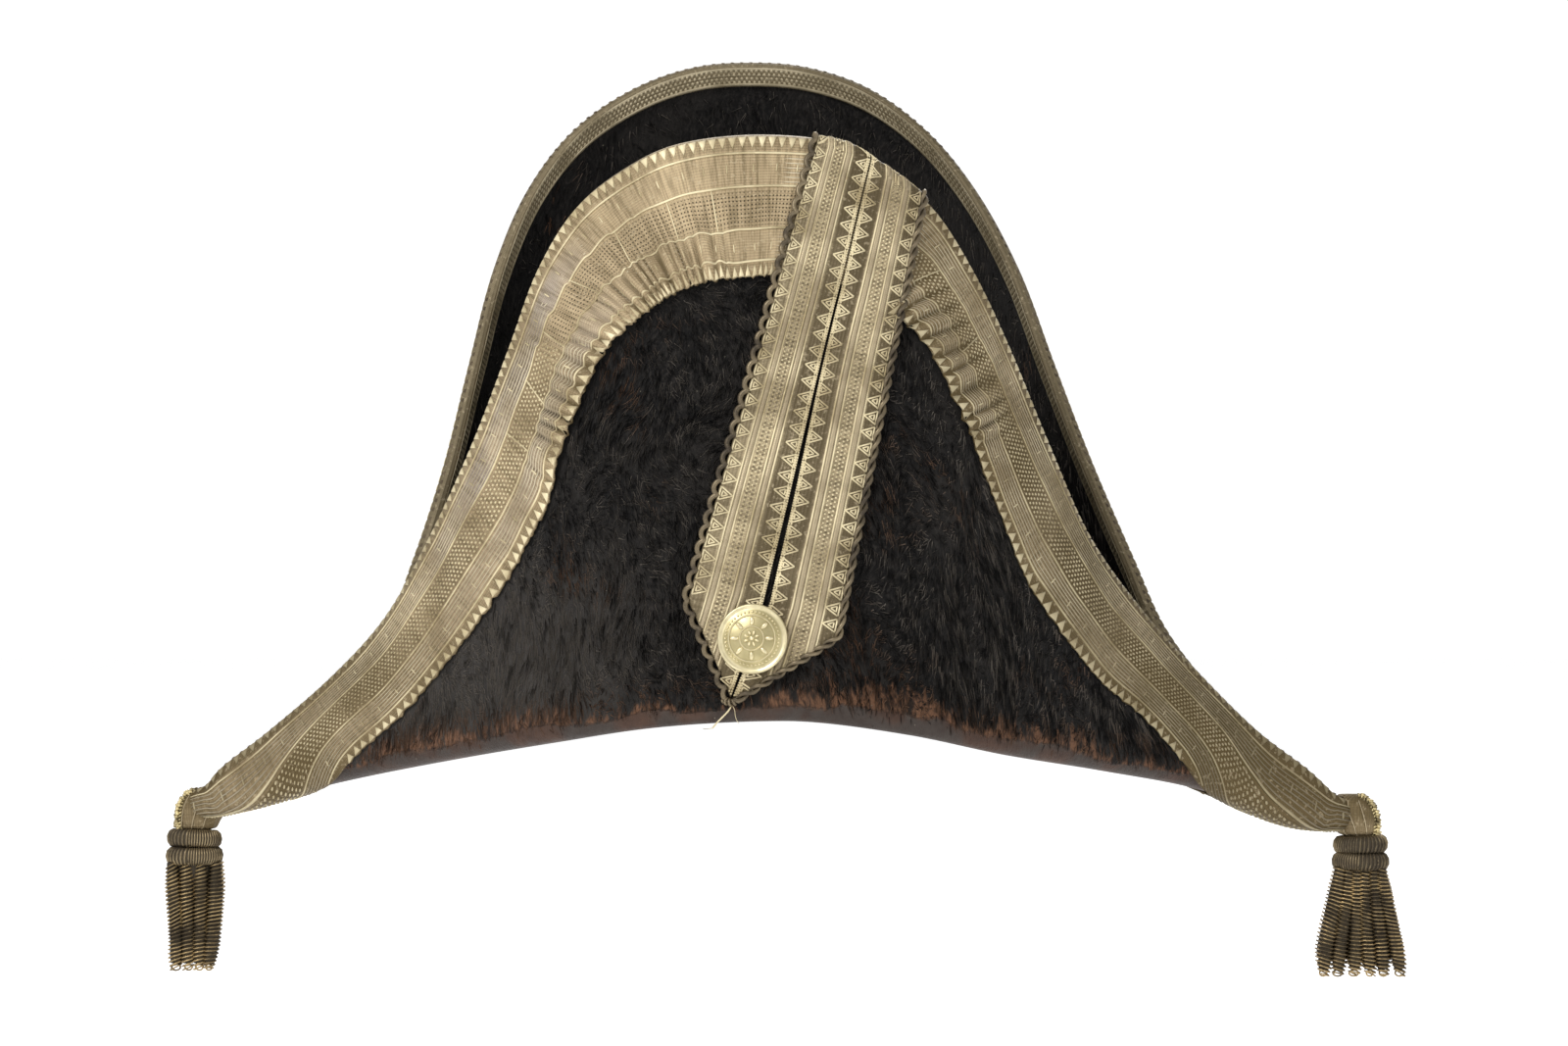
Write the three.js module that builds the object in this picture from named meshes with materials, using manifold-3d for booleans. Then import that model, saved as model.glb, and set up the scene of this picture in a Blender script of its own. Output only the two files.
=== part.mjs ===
import * as THREE from 'three';
import Module from 'manifold-3d';

// Bicorne hat worn side to side, in millimetres.
// The front faces -Y, +X is the viewer's right and +Z is up.
// The origin is the centre of the head opening, level with the rim at the front.

// Overall sizes
const LEFT_REACH = 224; // centre to the left horn's tip
const RIGHT_REACH = 214; // centre to the right horn's tip
const FRONT_HEIGHT = 213.8; // top of the front flap
const BACK_HEIGHT = 251.5; // top of the back flap
const FOLD_DEPTH = 106; // centre to the turned-up fold, front and back
const HORN_DROP = 44; // how far the fold falls towards the horns
const EDGE_DEPTH = 62; // centre to the flap's top edge, front and back

// Felt
const FELT_THICKNESS = 2.5;
const FOLD_RADIUS = 12; // widest rounding of the fold, half way along a horn
const FLAP_BULGE = 8; // how far a flap swells outwards
const TIP_RADIUS = 6; // rounding of a horn's end, seen from above

// Head opening and crown
const HEAD_HALF_LENGTH = 97; // front to back
const HEAD_HALF_WIDTH = 80; // side to side
const RIM_RADIUS = 3.5; // rounding between crown and brim
const CROWN_HEIGHT = 118;

// Lace
const LACE_THICKNESS = 0.8;
const LACE_WIDTH = 52; // at the top of a flap
const LACE_TURNOVER = 7; // part turned over the flap's edge
const LACE_SEAM = 1.2; // gap between the bands under the horns
const GATHER_HEIGHT = 0.9;
const FOLD_EASE = 0.6; // further clearance where a band bends round the fold
const GAP = 0.5; // clearance between pieces that lie on each other
const LOOP_GAP = 0.6; // clearance under the loop, whose flat facets cross the felt's

// Loop of two strips
const LOOP_TOP_LEFT = 12; // across, where the loop comes over the edge
const LOOP_TOP_MIDDLE = 31;
const LOOP_TOP_RIGHT = 49.7;
const LOOP_LEFT_CORNER = { across: -34.4, up: 43.5 };
const LOOP_RIGHT_CORNER = { across: 18.6, up: 30.5 };
const LOOP_POINT = { across: -18.6, up: 8.5 };
const LOOP_SLIT_KINK = { across: -6, up: 43, share: 0.8 };
const SLIT_WIDTH = 1.4; // between the strips at the slit's foot
const CORD_RADIUS = 1.3;
const CORD_WAVE = 0.7; // sideways scallops of the left cord
const CORD_PITCH = 5; // half a scallop

// Button
const BUTTON_RADIUS = 12.8;
const BUTTON_PLACE = { across: -10.9, up: 29.5 };
const BUTTON_RISE = 4.6;

// Tassels
const TAB_HALF = { across: 8, deep: 4 }; // folded lace end above the rings
const TAB_END_HALF = { across: 2.4, deep: 5.2 }; // where it turns up over the horn's end
const TASSEL_HEAD_HALF = { across: 4.6, deep: 2 }; // part inside the rings
const TASSEL_NECK_HALF = { across: 5, deep: 2.4 }; // just under the rings
const TASSEL_CORE_HALF = { across: 6, deep: 3.4 }; // where the ropes part
const TASSEL_CORE_LENGTH = 5;
const RING_HALF = { across: 7.9, deep: 4.9 }; // middle line of a ring
const RING_SECTION = { outwards: 2.2, up: 3.5 };
const RING_RISE = 2 * RING_SECTION.up * Math.sin(Math.PI / 3); // of its six-sided section
const FRINGE_LENGTH = 41;
const ROPE_RADIUS = 3.5;
const TASSELS = {
  left: { beyondTip: 1.5, tabBelow: 1.5, ringBelow: 7.8, ropes: 4, topSpread: 8.6, footSpread: 6.2 },
  right: { beyondTip: 6.5, tabBelow: 1, ringBelow: 4.8, ropes: 6, topSpread: 7.8, footSpread: 14.6 },
};

// Edge of the front flap: shares of FRONT_HEIGHT, LEFT_REACH and RIGHT_REACH
const FRONT_TOP = { up: 1, across: -0.04 };
const FRONT_EDGE = [
  { up: 0.983, left: 0.18, right: 0.105 },
  { up: 0.949, left: 0.253, right: 0.163 },
  { up: 0.884, left: 0.336, right: 0.246 },
  { up: 0.784, left: 0.398, right: 0.313 },
  { up: 0.647, left: 0.448, right: 0.38 },
  { up: 0.477, left: 0.512, right: 0.451 },
  { up: 0.307, left: 0.589, right: 0.529 },
  { up: 0.167, left: 0.665, right: 0.633 },
  { up: 0.062, left: 0.756, right: 0.73 },
  { up: -0.042, left: 0.871, right: 0.837 },
  { up: -0.112, left: 0.957, right: 0.93 },
];

// Edge of the back flap: shares of BACK_HEIGHT, LEFT_REACH and RIGHT_REACH
const BACK_TOP = { up: 1, across: -0.058 };
const BACK_EDGE = [
  { up: 0.993, left: 0.152, right: 0.04 },
  { up: 0.962, left: 0.252, right: 0.149 },
  { up: 0.898, left: 0.357, right: 0.253 },
  { up: 0.805, left: 0.436, right: 0.341 },
  { up: 0.683, left: 0.493, right: 0.417 },
  { up: 0.53, left: 0.536, right: 0.482 },
  { up: 0.38, left: 0.576, right: 0.547 },
  { up: 0.23, left: 0.628, right: 0.62 },
  { up: 0.128, left: 0.674, right: 0.672 },
  { up: 0.045, left: 0.765, right: 0.742 },
  { up: -0.043, left: 0.871, right: 0.837 },
  { up: -0.101, left: 0.957, right: 0.93 },
];
const TIP_LEVEL = { left: -32, right: -35.5 };
const TIP_LIFT = 3; // how far the edge dips round a horn's end

// Depth of a flap's edge: share of the reach, then share of EDGE_DEPTH
const EDGE_PLAN = [
  { along: 0, deep: 1 },
  { along: 0.22, deep: 0.94 },
  { along: 0.4, deep: 0.73 },
  { along: 0.55, deep: 0.44 },
  { along: 0.67, deep: 0.24 },
  { along: 0.8, deep: 0.137 },
  { along: 0.9, deep: 0.1 },
  { along: 1, deep: 0.081 },
];

// Fold between brim and flap: shares of the reach, FOLD_DEPTH, HORN_DROP, FOLD_RADIUS and FLAP_BULGE
const FOLD = [
  { along: 0, deep: 1, leftDrop: -0.03, rightDrop: -0.03, round: 0.34, bulge: 1 },
  { along: 0.2, deep: 0.925, leftDrop: 0.025, rightDrop: 0.08, round: 0.38, bulge: 0.95 },
  { along: 0.38, deep: 0.736, leftDrop: 0.18, rightDrop: 0.28, round: 0.6, bulge: 0.8 },
  { along: 0.56, deep: 0.462, leftDrop: 0.36, rightDrop: 0.45, round: 0.85, bulge: 0.6 },
  { along: 0.74, deep: 0.245, leftDrop: 0.56, rightDrop: 0.64, round: 1, bulge: 0.45 },
  { along: 0.9, deep: 0.123, leftDrop: 0.77, rightDrop: 0.93, round: 0.62, bulge: 0.25 },
  { along: 1, deep: 0.066, leftDrop: 0.89, rightDrop: 0.99, round: 0.42, bulge: 0.06 },
];

// Crown above the head opening: share of its outline, then share of CROWN_HEIGHT
const CROWN_PROFILE = [
  { size: 0.96, up: 0.84 },
  { size: 0.9, up: 0.95 },
  { size: 0.79, up: 0.99 },
  { size: 0.42, up: 1.01 },
];

// Width of the wide band by share of the way from the flap's top to a horn's tip, as shares of LACE_WIDTH
const LACE_PLAN = [
  { along: 0, left: 1.06, right: 1.04 },
  { along: 0.12, left: 1.07, right: 0.97 },
  { along: 0.22, left: 1.08, right: 0.82 },
  { along: 0.32, left: 0.99, right: 0.83 },
  { along: 0.42, left: 0.98, right: 0.88 },
  { along: 0.5, left: 0.95, right: 0.82 },
  { along: 0.6, left: 0.81, right: 0.76 },
  { along: 0.7, left: 0.68, right: 0.7 },
  { along: 0.8, left: 0.62, right: 0.66 },
  { along: 1, left: 0.58, right: 0.6 },
];
const GATHERED = [
  { from: -0.5, to: -0.02 },
  { from: 0.2, to: 0.46 },
];

// Layout of the felt's mesh
const STEPS_PER_SIDE = 14;
const EDGE_SPACING = 1.15; // stations lie closer together near a flap's top
const HEAD_STEPS = 7; // stations between the middle and the head opening's side
const FOLD_STEPS = 3;
const RIM_STEPS = 2;
const FLAP_STEPS = 5;
const TIP_ANGLES = [-50, -8, 8, 50];
const BRIM_ROWS = FLAP_STEPS + FOLD_STEPS + 2;
const BAND_ROWS = BRIM_ROWS - 1;
const GATHER_PARTS = 2; // columns of the band between two stations
const UNDER_PARTS = 3; // the same where the band's inner edge crosses the fold
const UNDER_ZONE = { from: 0.68, to: 0.88 };

const FRONT = -1;
const BACK = 1;
const LEFT = -1;
const RIGHT = 1;

// Finishes
const FELT = { color: 0x1d1a18, roughness: 0.85, metalness: 0 };
const LACE = { color: 0xa8977a, roughness: 0.6, metalness: 0.35 };
const DARK_LACE = { color: 0x8d7f62, roughness: 0.6, metalness: 0.35 };
const CORD = { color: 0x7c6f5a, roughness: 0.5, metalness: 0.5 };
const BRASS = { color: 0xb9ad72, roughness: 0.32, metalness: 0.9 };
const BULLION = { color: 0x6a5c3e, roughness: 0.45, metalness: 0.6 };

const wasm = await Module();
wasm.setup();

const vector = (x, y, z) => new THREE.Vector3(x, y, z);
const mix = (a, b, share) => a.clone().lerp(b, share);
const clamp = THREE.MathUtils.clamp;

// A smooth value read from one column of a table
function column(rows, key, name, at) {
  const count = rows.length;
  const spot = clamp(at, rows[0][key], rows[count - 1][key]);
  let i = 0;
  while (i < count - 2 && rows[i + 1][key] < spot) {
    i += 1;
  }
  const slope = (k) => {
    // Level in the middle of the hat, where both sides meet
    const high = Math.min(k + 1, count - 1);
    return k === 0 ? 0 : (rows[high][name] - rows[k - 1][name]) / (rows[high][key] - rows[k - 1][key]);
  };
  const span = rows[i + 1][key] - rows[i][key];
  const t = (spot - rows[i][key]) / span;
  const start = rows[i][name];
  const end = rows[i + 1][name];
  const curve = (1 - t) * (1 - t) * (start * (1 + 2 * t) + slope(i) * span * t);
  return curve + t * t * (end * (3 - 2 * t) - slope(i + 1) * span * (1 - t));
}

const reach = (hand) => (hand === LEFT ? LEFT_REACH : RIGHT_REACH);
const handName = (hand) => (hand === LEFT ? 'left' : 'right');
const handOf = (x) => (x < 0 ? LEFT : RIGHT);

// Level of the fold, which is the same in front and behind
function foldLevel(x) {
  const hand = handOf(x);
  const along = Math.min(Math.abs(x) / reach(hand), 1);
  return -HORN_DROP * column(FOLD, 'along', `${handName(hand)}Drop`, along);
}

// One half of the fold in plan, from the middle (0) to the horn's end (1)
function foldCurve(face, hand) {
  const end = 1 - TIP_RADIUS / reach(hand);
  const points = [];
  for (let i = 0; i <= 40; i += 1) {
    const along = (i / 40) * end;
    const x = hand * along * reach(hand);
    points.push(vector(x, face * FOLD_DEPTH * column(FOLD, 'along', 'deep', along), foldLevel(x)));
  }
  return new THREE.CatmullRomCurve3(points);
}

// The edge of a flap, with the share of its length at which its top lies
function edgeCurve(face) {
  const top = face === FRONT ? FRONT_TOP : BACK_TOP;
  const rows = face === FRONT ? FRONT_EDGE : BACK_EDGE;
  const height = face === FRONT ? FRONT_HEIGHT : BACK_HEIGHT;
  const point = (hand, across, up) => {
    const x = hand * across * reach(hand);
    const deep = EDGE_DEPTH * column(EDGE_PLAN, 'along', 'deep', across);
    return vector(x, face * deep, up * height);
  };
  const half = (hand) => rows.map((row) => point(hand, row[handName(hand)], row.up));
  const end = (hand) => {
    const share = 1 - TIP_RADIUS / reach(hand);
    const level = TIP_LEVEL[handName(hand)] + TIP_LIFT;
    return point(hand, share, level / height);
  };
  const points = [end(LEFT), ...half(LEFT).reverse(), point(LEFT, -top.across, top.up)];
  points.push(...half(RIGHT), end(RIGHT));
  const curve = new THREE.CatmullRomCurve3(points, false, 'centripetal');
  curve.arcLengthDivisions = 600;
  const lengths = curve.getLengths();
  const topIndex = Math.round((600 * (rows.length + 1)) / (points.length - 1));
  return { curve, topShare: lengths[topIndex] / lengths[600] };
}

// Stations run once round the hat: along the front, round the right tip, along the back, round the left tip
function edgePoint(edge, hand, share) {
  const { curve, topShare } = edge;
  const at = hand === LEFT ? topShare * (1 - share) : topShare + (1 - topShare) * share;
  return curve.getPointAt(clamp(at, 0, 1));
}

function foldShare(curve) {
  // Share of the fold's length that lies beside the head opening
  let share = 0;
  while (Math.abs(curve.getPointAt(share).x) < HEAD_HALF_WIDTH + RIM_RADIUS) {
    share += 0.005;
  }
  return share;
}

function sideStation(face, hand, step, edge, fold) {
  const beside = foldShare(fold);
  const past = (step - HEAD_STEPS) / (STEPS_PER_SIDE - HEAD_STEPS);
  const share = step <= HEAD_STEPS ? (beside * step) / HEAD_STEPS : beside + (1 - beside) * past;
  const foldPoint = fold.getPointAt(Math.min(share, 1));
  const edgeShare = (step / STEPS_PER_SIDE) ** EDGE_SPACING;
  const station = {
    face,
    hand,
    share: edgeShare,
    edge: edgePoint(edge, hand, edgeShare),
    fold: foldPoint,
    along: Math.abs(foldPoint.x) / reach(hand),
    turn: null,
  };
  if (step <= HEAD_STEPS) {
    station.turn = ((Math.PI / 2) * step) / HEAD_STEPS;
    return station;
  }
  const start = HEAD_HALF_WIDTH + RIM_RADIUS;
  const x = hand * (start + (reach(hand) - TIP_RADIUS - start) * past);
  station.inner = vector(x, 0, foldLevel(x));
  return station;
}

function tipStation(hand, degrees) {
  const angle = THREE.MathUtils.degToRad(degrees);
  const centre = hand * (reach(hand) - TIP_RADIUS);
  const outwards = vector(hand * Math.cos(angle), Math.sin(angle), 0);
  const edgeRadius = EDGE_DEPTH * EDGE_PLAN[EDGE_PLAN.length - 1].deep;
  const foldRadius = FOLD_DEPTH * FOLD[FOLD.length - 1].deep;
  const level = TIP_LEVEL[handName(hand)];
  const fall = Math.cos(angle);
  const edge = outwards.clone().multiplyScalar(edgeRadius + fall);
  return {
    face: degrees < 0 ? FRONT : BACK,
    hand,
    share: 1,
    edge: edge.add(vector(centre, 0, level + TIP_LIFT * (1 - fall))),
    fold: outwards.clone().multiplyScalar(foldRadius).add(vector(centre, 0, foldLevel(centre))),
    along: 1,
    inner: vector(centre, 0, foldLevel(centre)),
    turn: null,
  };
}

function buildStations() {
  const stations = [];
  const half = (face, hand, steps) => {
    const edge = edgeCurve(face);
    const fold = foldCurve(face, hand);
    steps.forEach((step) => stations.push(sideStation(face, hand, step, edge, fold)));
  };
  const outward = Array.from({ length: STEPS_PER_SIDE + 1 }, (_, i) => i);
  const inward = outward.slice(1).reverse();
  half(FRONT, LEFT, inward);
  half(FRONT, RIGHT, outward);
  TIP_ANGLES.forEach((degrees) => stations.push(tipStation(RIGHT, degrees)));
  half(BACK, RIGHT, inward);
  half(BACK, LEFT, outward);
  [...TIP_ANGLES].reverse().forEach((degrees) => stations.push(tipStation(LEFT, degrees)));
  return stations;
}

// Points of the head opening, where the crown's wall would meet the brim at a sharp corner
function headPoint(station) {
  const x = station.hand * HEAD_HALF_WIDTH * Math.sin(station.turn);
  const y = station.face * HEAD_HALF_LENGTH * Math.cos(station.turn);
  return vector(x, y, foldLevel(x));
}

function rounded(corner, before, after, steps) {
  // Points of a smooth bend from one leg of a corner to the other
  const points = [];
  for (let i = 0; i <= steps; i += 1) {
    const t = i / steps;
    const a = mix(before, corner, t);
    points.push(a.lerp(mix(corner, after, t), t));
  }
  return points;
}

// The middle surface of the felt at one station, from the crown's top or the horn's middle line to the edge
function stationPath(station, outwards) {
  const path = [];
  let inner = station.inner;
  if (station.turn !== null) {
    const corner = headPoint(station);
    const away = station.fold.clone().sub(corner).normalize();
    // Beside the head the brim runs straight out along the horn
    if (Math.abs(corner.y) < RIM_RADIUS) {
      away.set(station.hand, 0, 0);
    }
    inner = corner.clone().addScaledVector(away, RIM_RADIUS);
    inner.z = foldLevel(inner.x);
    const wall = corner.clone().add(vector(0, 0, RIM_RADIUS));
    const crown = CROWN_PROFILE.map((row) => vector(
      corner.x * row.size,
      corner.y * row.size,
      corner.z + (CROWN_HEIGHT - corner.z) * row.up,
    ));
    path.push(vector(0, 0, CROWN_HEIGHT * 1.02), ...crown.reverse());
    path.push(...rounded(corner, wall, inner, RIM_STEPS).slice(0, -1));
  }
  const leg = station.fold.clone().sub(inner);
  const wide = FOLD_RADIUS * column(FOLD, 'along', 'round', station.along);
  const radius = Math.min(wide, leg.length() * 0.75);
  const bulge = FLAP_BULGE * column(FOLD, 'along', 'bulge', station.along);
  const rise = station.edge.clone().sub(station.fold);
  const flapPoint = (t) => station.fold.clone()
    .addScaledVector(rise, t)
    .addScaledVector(outwards, 4 * bulge * t * (1 - t));
  const start = Math.min(radius / rise.length(), 0.5);
  const before = station.fold.clone().addScaledVector(leg.normalize(), -radius);
  path.push(inner, mix(inner, before, 0.5));
  path.push(...rounded(station.fold, before, flapPoint(start), FOLD_STEPS));
  for (let i = 1; i <= FLAP_STEPS; i += 1) {
    path.push(flapPoint(start + ((1 - start) * i) / FLAP_STEPS));
  }
  return path;
}

function buildPaths(stations) {
  const count = stations.length;
  return stations.map((station, i) => {
    const next = stations[(i + 1) % count].fold;
    const last = stations[(i + count - 1) % count].fold;
    const outwards = vector(next.y - last.y, last.x - next.x, 0).normalize();
    return stationPath(station, outwards);
  });
}

// The felt's middle surface as one mesh, with a normal at each vertex that points out of the hat
function middleSurface(paths) {
  const points = [];
  const seen = new Map();
  const indexOf = (p) => {
    const key = p.toArray().map((value) => Math.round(value * 1000)).join();
    if (!seen.has(key)) {
      seen.set(key, points.length);
      points.push(p);
    }
    return seen.get(key);
  };
  const ids = paths.map((path) => path.map(indexOf));
  const faces = [];
  const addFace = (a, b, c) => {
    if (a !== b && b !== c && c !== a) {
      faces.push([a, b, c]);
    }
  };
  ids.forEach((own, i) => {
    const next = ids[(i + 1) % ids.length];
    const rows = Math.min(own.length, next.length);
    for (let k = 1; k < rows; k += 1) {
      const a = own[own.length - k];
      const b = next[next.length - k];
      const c = next[next.length - k - 1];
      const d = own[own.length - k - 1];
      addFace(a, d, c);
      addFace(a, c, b);
    }
  });
  const normals = points.map(() => vector(0, 0, 0));
  faces.forEach((face) => {
    face.forEach((id, k) => {
      const u = points[face[(k + 1) % 3]].clone().sub(points[id]);
      const v = points[face[(k + 2) % 3]].clone().sub(points[id]);
      const angle = u.angleTo(v);
      normals[id].addScaledVector(u.cross(v).normalize(), angle);
    });
  });
  normals.forEach((normal) => normal.normalize());
  return { points, ids, faces, normals };
}

function geometryFrom(points, faces) {
  const geometry = new THREE.BufferGeometry();
  const positions = new Float32Array(points.flatMap((p) => [p.x, p.y, p.z]));
  geometry.setAttribute('position', new THREE.BufferAttribute(positions, 3));
  geometry.setIndex(faces.flat());
  return geometry;
}

// The felt as a closed solid: both faces of the middle surface and a wall along its free edge
function feltGeometry(middle) {
  const { points, faces, normals } = middle;
  const count = points.length;
  const shifted = (way) => points.map((p, i) => (
    p.clone().addScaledVector(normals[i], (way * FELT_THICKNESS) / 2)
  ));
  const all = [...shifted(1), ...shifted(-1)];
  const walls = [];
  const used = new Set(faces.flatMap(([a, b, c]) => [`${a}_${b}`, `${b}_${c}`, `${c}_${a}`]));
  faces.forEach((face) => {
    face.forEach((a, k) => {
      const b = face[(k + 1) % 3];
      if (!used.has(`${b}_${a}`)) {
        walls.push([b, a, a + count], [b, a + count, b + count]);
      }
    });
  });
  const inside = faces.map(([a, b, c]) => [a + count, c + count, b + count]);
  return geometryFrom(all, [...faces, ...inside, ...walls]);
}

// A closed sheet between two grids of points that have the same rows and columns
function sheetGeometry(lower, upper) {
  const rows = lower[0].length;
  const size = lower.length * rows;
  const at = (i, k) => i * rows + k;
  const faces = [];
  const quad = (a, b, c, d) => faces.push([a, b, d], [b, c, d]);
  for (let i = 0; i + 1 < lower.length; i += 1) {
    for (let k = 0; k + 1 < rows; k += 1) {
      const [a, b, c, d] = [at(i, k), at(i + 1, k), at(i + 1, k + 1), at(i, k + 1)];
      quad(a + size, b + size, c + size, d + size);
      quad(a, d, c, b);
    }
    const [first, second] = [at(i, 0), at(i + 1, 0)];
    const [third, fourth] = [at(i, rows - 1), at(i + 1, rows - 1)];
    quad(first, second, second + size, first + size);
    quad(third, third + size, fourth + size, fourth);
  }
  const last = lower.length - 1;
  for (let k = 0; k + 1 < rows; k += 1) {
    quad(at(0, k), at(0, k) + size, at(0, k + 1) + size, at(0, k + 1));
    quad(at(last, k), at(last, k + 1), at(last, k + 1) + size, at(last, k) + size);
  }
  return geometryFrom([...lower.flat(), ...upper.flat()], faces);
}

// A solid through rings of points, closed into a loop or capped at both ends
function loftGeometry(rings, isLoop) {
  const sides = rings[0].length;
  const faces = [];
  const links = isLoop ? rings.length : rings.length - 1;
  for (let i = 0; i < links; i += 1) {
    const own = i * sides;
    const next = ((i + 1) % rings.length) * sides;
    for (let k = 0; k < sides; k += 1) {
      const step = (k + 1) % sides;
      faces.push([own + k, own + step, next + step], [own + k, next + step, next + k]);
    }
  }
  if (!isLoop) {
    const end = (rings.length - 1) * sides;
    for (let k = 1; k + 1 < sides; k += 1) {
      faces.push([0, k + 1, k], [end, end + k, end + k + 1]);
    }
  }
  return geometryFrom(rings.flat(), faces);
}

// The path between a station and the next one, from the flap's edge inwards
function brimPath(middle, station, share) {
  const own = middle.ids[station];
  const next = middle.ids[(station + 1) % middle.ids.length];
  const path = [];
  for (let k = 0; k <= BRIM_ROWS; k += 1) {
    const a = own[own.length - 1 - k];
    const b = next[next.length - 1 - k];
    const point = mix(middle.points[a], middle.points[b], share);
    const normal = mix(middle.normals[a], middle.normals[b], share);
    const distance = k === 0 ? 0 : path[k - 1].distance + point.distanceTo(path[k - 1].point);
    path.push({ point, normal, distance });
  }
  return path;
}

function alongPath(path, distance) {
  let k = 1;
  while (k < path.length - 1 && path[k].distance < distance) {
    k += 1;
  }
  const { distance: start } = path[k - 1];
  const share = clamp((distance - start) / (path[k].distance - start), 0, 1);
  return {
    point: mix(path[k - 1].point, path[k].point, share),
    normal: mix(path[k - 1].normal, path[k].normal, share),
  };
}

function edgeDirection(path) {
  return path[0].point.clone().sub(path[1].point).normalize();
}

// Distance along the path that a band of the given width covers, where the path crosses it at a slant
function slantedWidth(path, stations, station, width) {
  const count = stations.length;
  const next = stations[(station + 1) % count].edge;
  const last = stations[(station + count - 1) % count].edge;
  const edgeWay = next.clone().sub(last).normalize();
  const pathWay = alongPath(path, width).point.sub(stations[station].edge).normalize();
  const slant = Math.sqrt(1 - edgeWay.dot(pathWay) ** 2);
  return width / Math.max(slant, 0.5);
}

function laceWidth(middle, stations, station) {
  const { hand, share, along, turn } = stations[station];
  const path = brimPath(middle, station, 0);
  const width = LACE_WIDTH * column(LACE_PLAN, 'along', handName(hand), share);
  const limit = path[BRIM_ROWS].distance - (along < 1 ? LACE_SEAM / 2 : TIP_RADIUS / 2);
  const slanted = slantedWidth(path, stations, station, width);
  return turn === null ? Math.min(slanted, limit) : slanted;
}

// Distances of a band's rows: on the felt's own rows while they last, evenly spaced further in
function bandRows(path, width) {
  let shared = 0;
  while (shared < BAND_ROWS - 1 && path[shared + 1].distance < width - 1) {
    shared += 1;
  }
  const distances = [];
  for (let k = BAND_ROWS; k >= 1; k -= 1) {
    const { distance } = path[Math.min(k, shared)];
    const past = Math.max(k - shared, 0) / (BAND_ROWS - shared);
    distances.push(distance + (width - distance) * past);
  }
  return distances;
}

// Part of a band's height that comes from gathers, which grow towards its inner edge
function gather(signedShare, columnIndex, rowShare) {
  const zone = GATHERED.find(({ from, to }) => signedShare > from && signedShare < to);
  if (!zone) {
    return 0;
  }
  const inZone = (signedShare - zone.from) / (zone.to - zone.from);
  const fade = Math.sin(Math.PI * inZone) ** 0.5;
  return GATHER_HEIGHT * fade * (columnIndex % 2) * clamp((rowShare - 0.3) / 0.7, 0, 1);
}

// The line of points across a band, on its lower or upper face
function bandLine(middle, stations, place, face) {
  const { station, share, index, isPlain } = place;
  const next = (station + 1) % stations.length;
  const path = brimPath(middle, station, share);
  const width = THREE.MathUtils.lerp(
    laceWidth(middle, stations, station),
    laceWidth(middle, stations, next),
    share,
  );
  const height = FELT_THICKNESS / 2 + GAP + face * LACE_THICKNESS;
  const over = GAP + face * LACE_THICKNESS;
  const way = THREE.MathUtils.lerp(
    stations[station].hand * stations[station].share,
    stations[next].hand * stations[next].share,
    share,
  );
  const line = bandRows(path, width).map((distance) => {
    const { point, normal } = alongPath(path, distance);
    const past = distance - path[FLAP_STEPS - 1].distance;
    const ease = FOLD_EASE * clamp(past / FOLD_RADIUS, 0, 1);
    const lift = isPlain ? 0 : gather(way, index, distance / width);
    return point.addScaledVector(normal, height + ease + lift);
  });
  const edge = path[0];
  const out = edgeDirection(path);
  [1, -1].forEach((side) => {
    line.push(edge.point.clone().addScaledVector(edge.normal, side * height).addScaledVector(out, over));
  });
  const turned = alongPath(path, LACE_TURNOVER);
  line.push(turned.point.addScaledVector(turned.normal, -height));
  return line;
}

function partsAt(station, next, isPlain) {
  const way = (station.hand * station.share + next.hand * next.share) / 2;
  if (Math.abs(way) > UNDER_ZONE.from && Math.abs(way) < UNDER_ZONE.to) {
    return UNDER_PARTS;
  }
  const isGathered = GATHERED.some(({ from, to }) => way > from && way < to);
  return isGathered && !isPlain ? GATHER_PARTS : 1;
}

function bandGeometry(middle, stations, from, to, isPlain) {
  const places = [];
  const count = stations.length;
  for (let station = from; station <= to; station += 1) {
    const parts = partsAt(stations[station % count], stations[(station + 1) % count], isPlain);
    for (let k = 0; k < (station === to ? 1 : parts); k += 1) {
      places.push({ station: station % count, share: k / parts, index: places.length, isPlain });
    }
  }
  const grid = (face) => places.map((place) => bandLine(middle, stations, place, face));
  return sheetGeometry(grid(0), grid(1));
}

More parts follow.
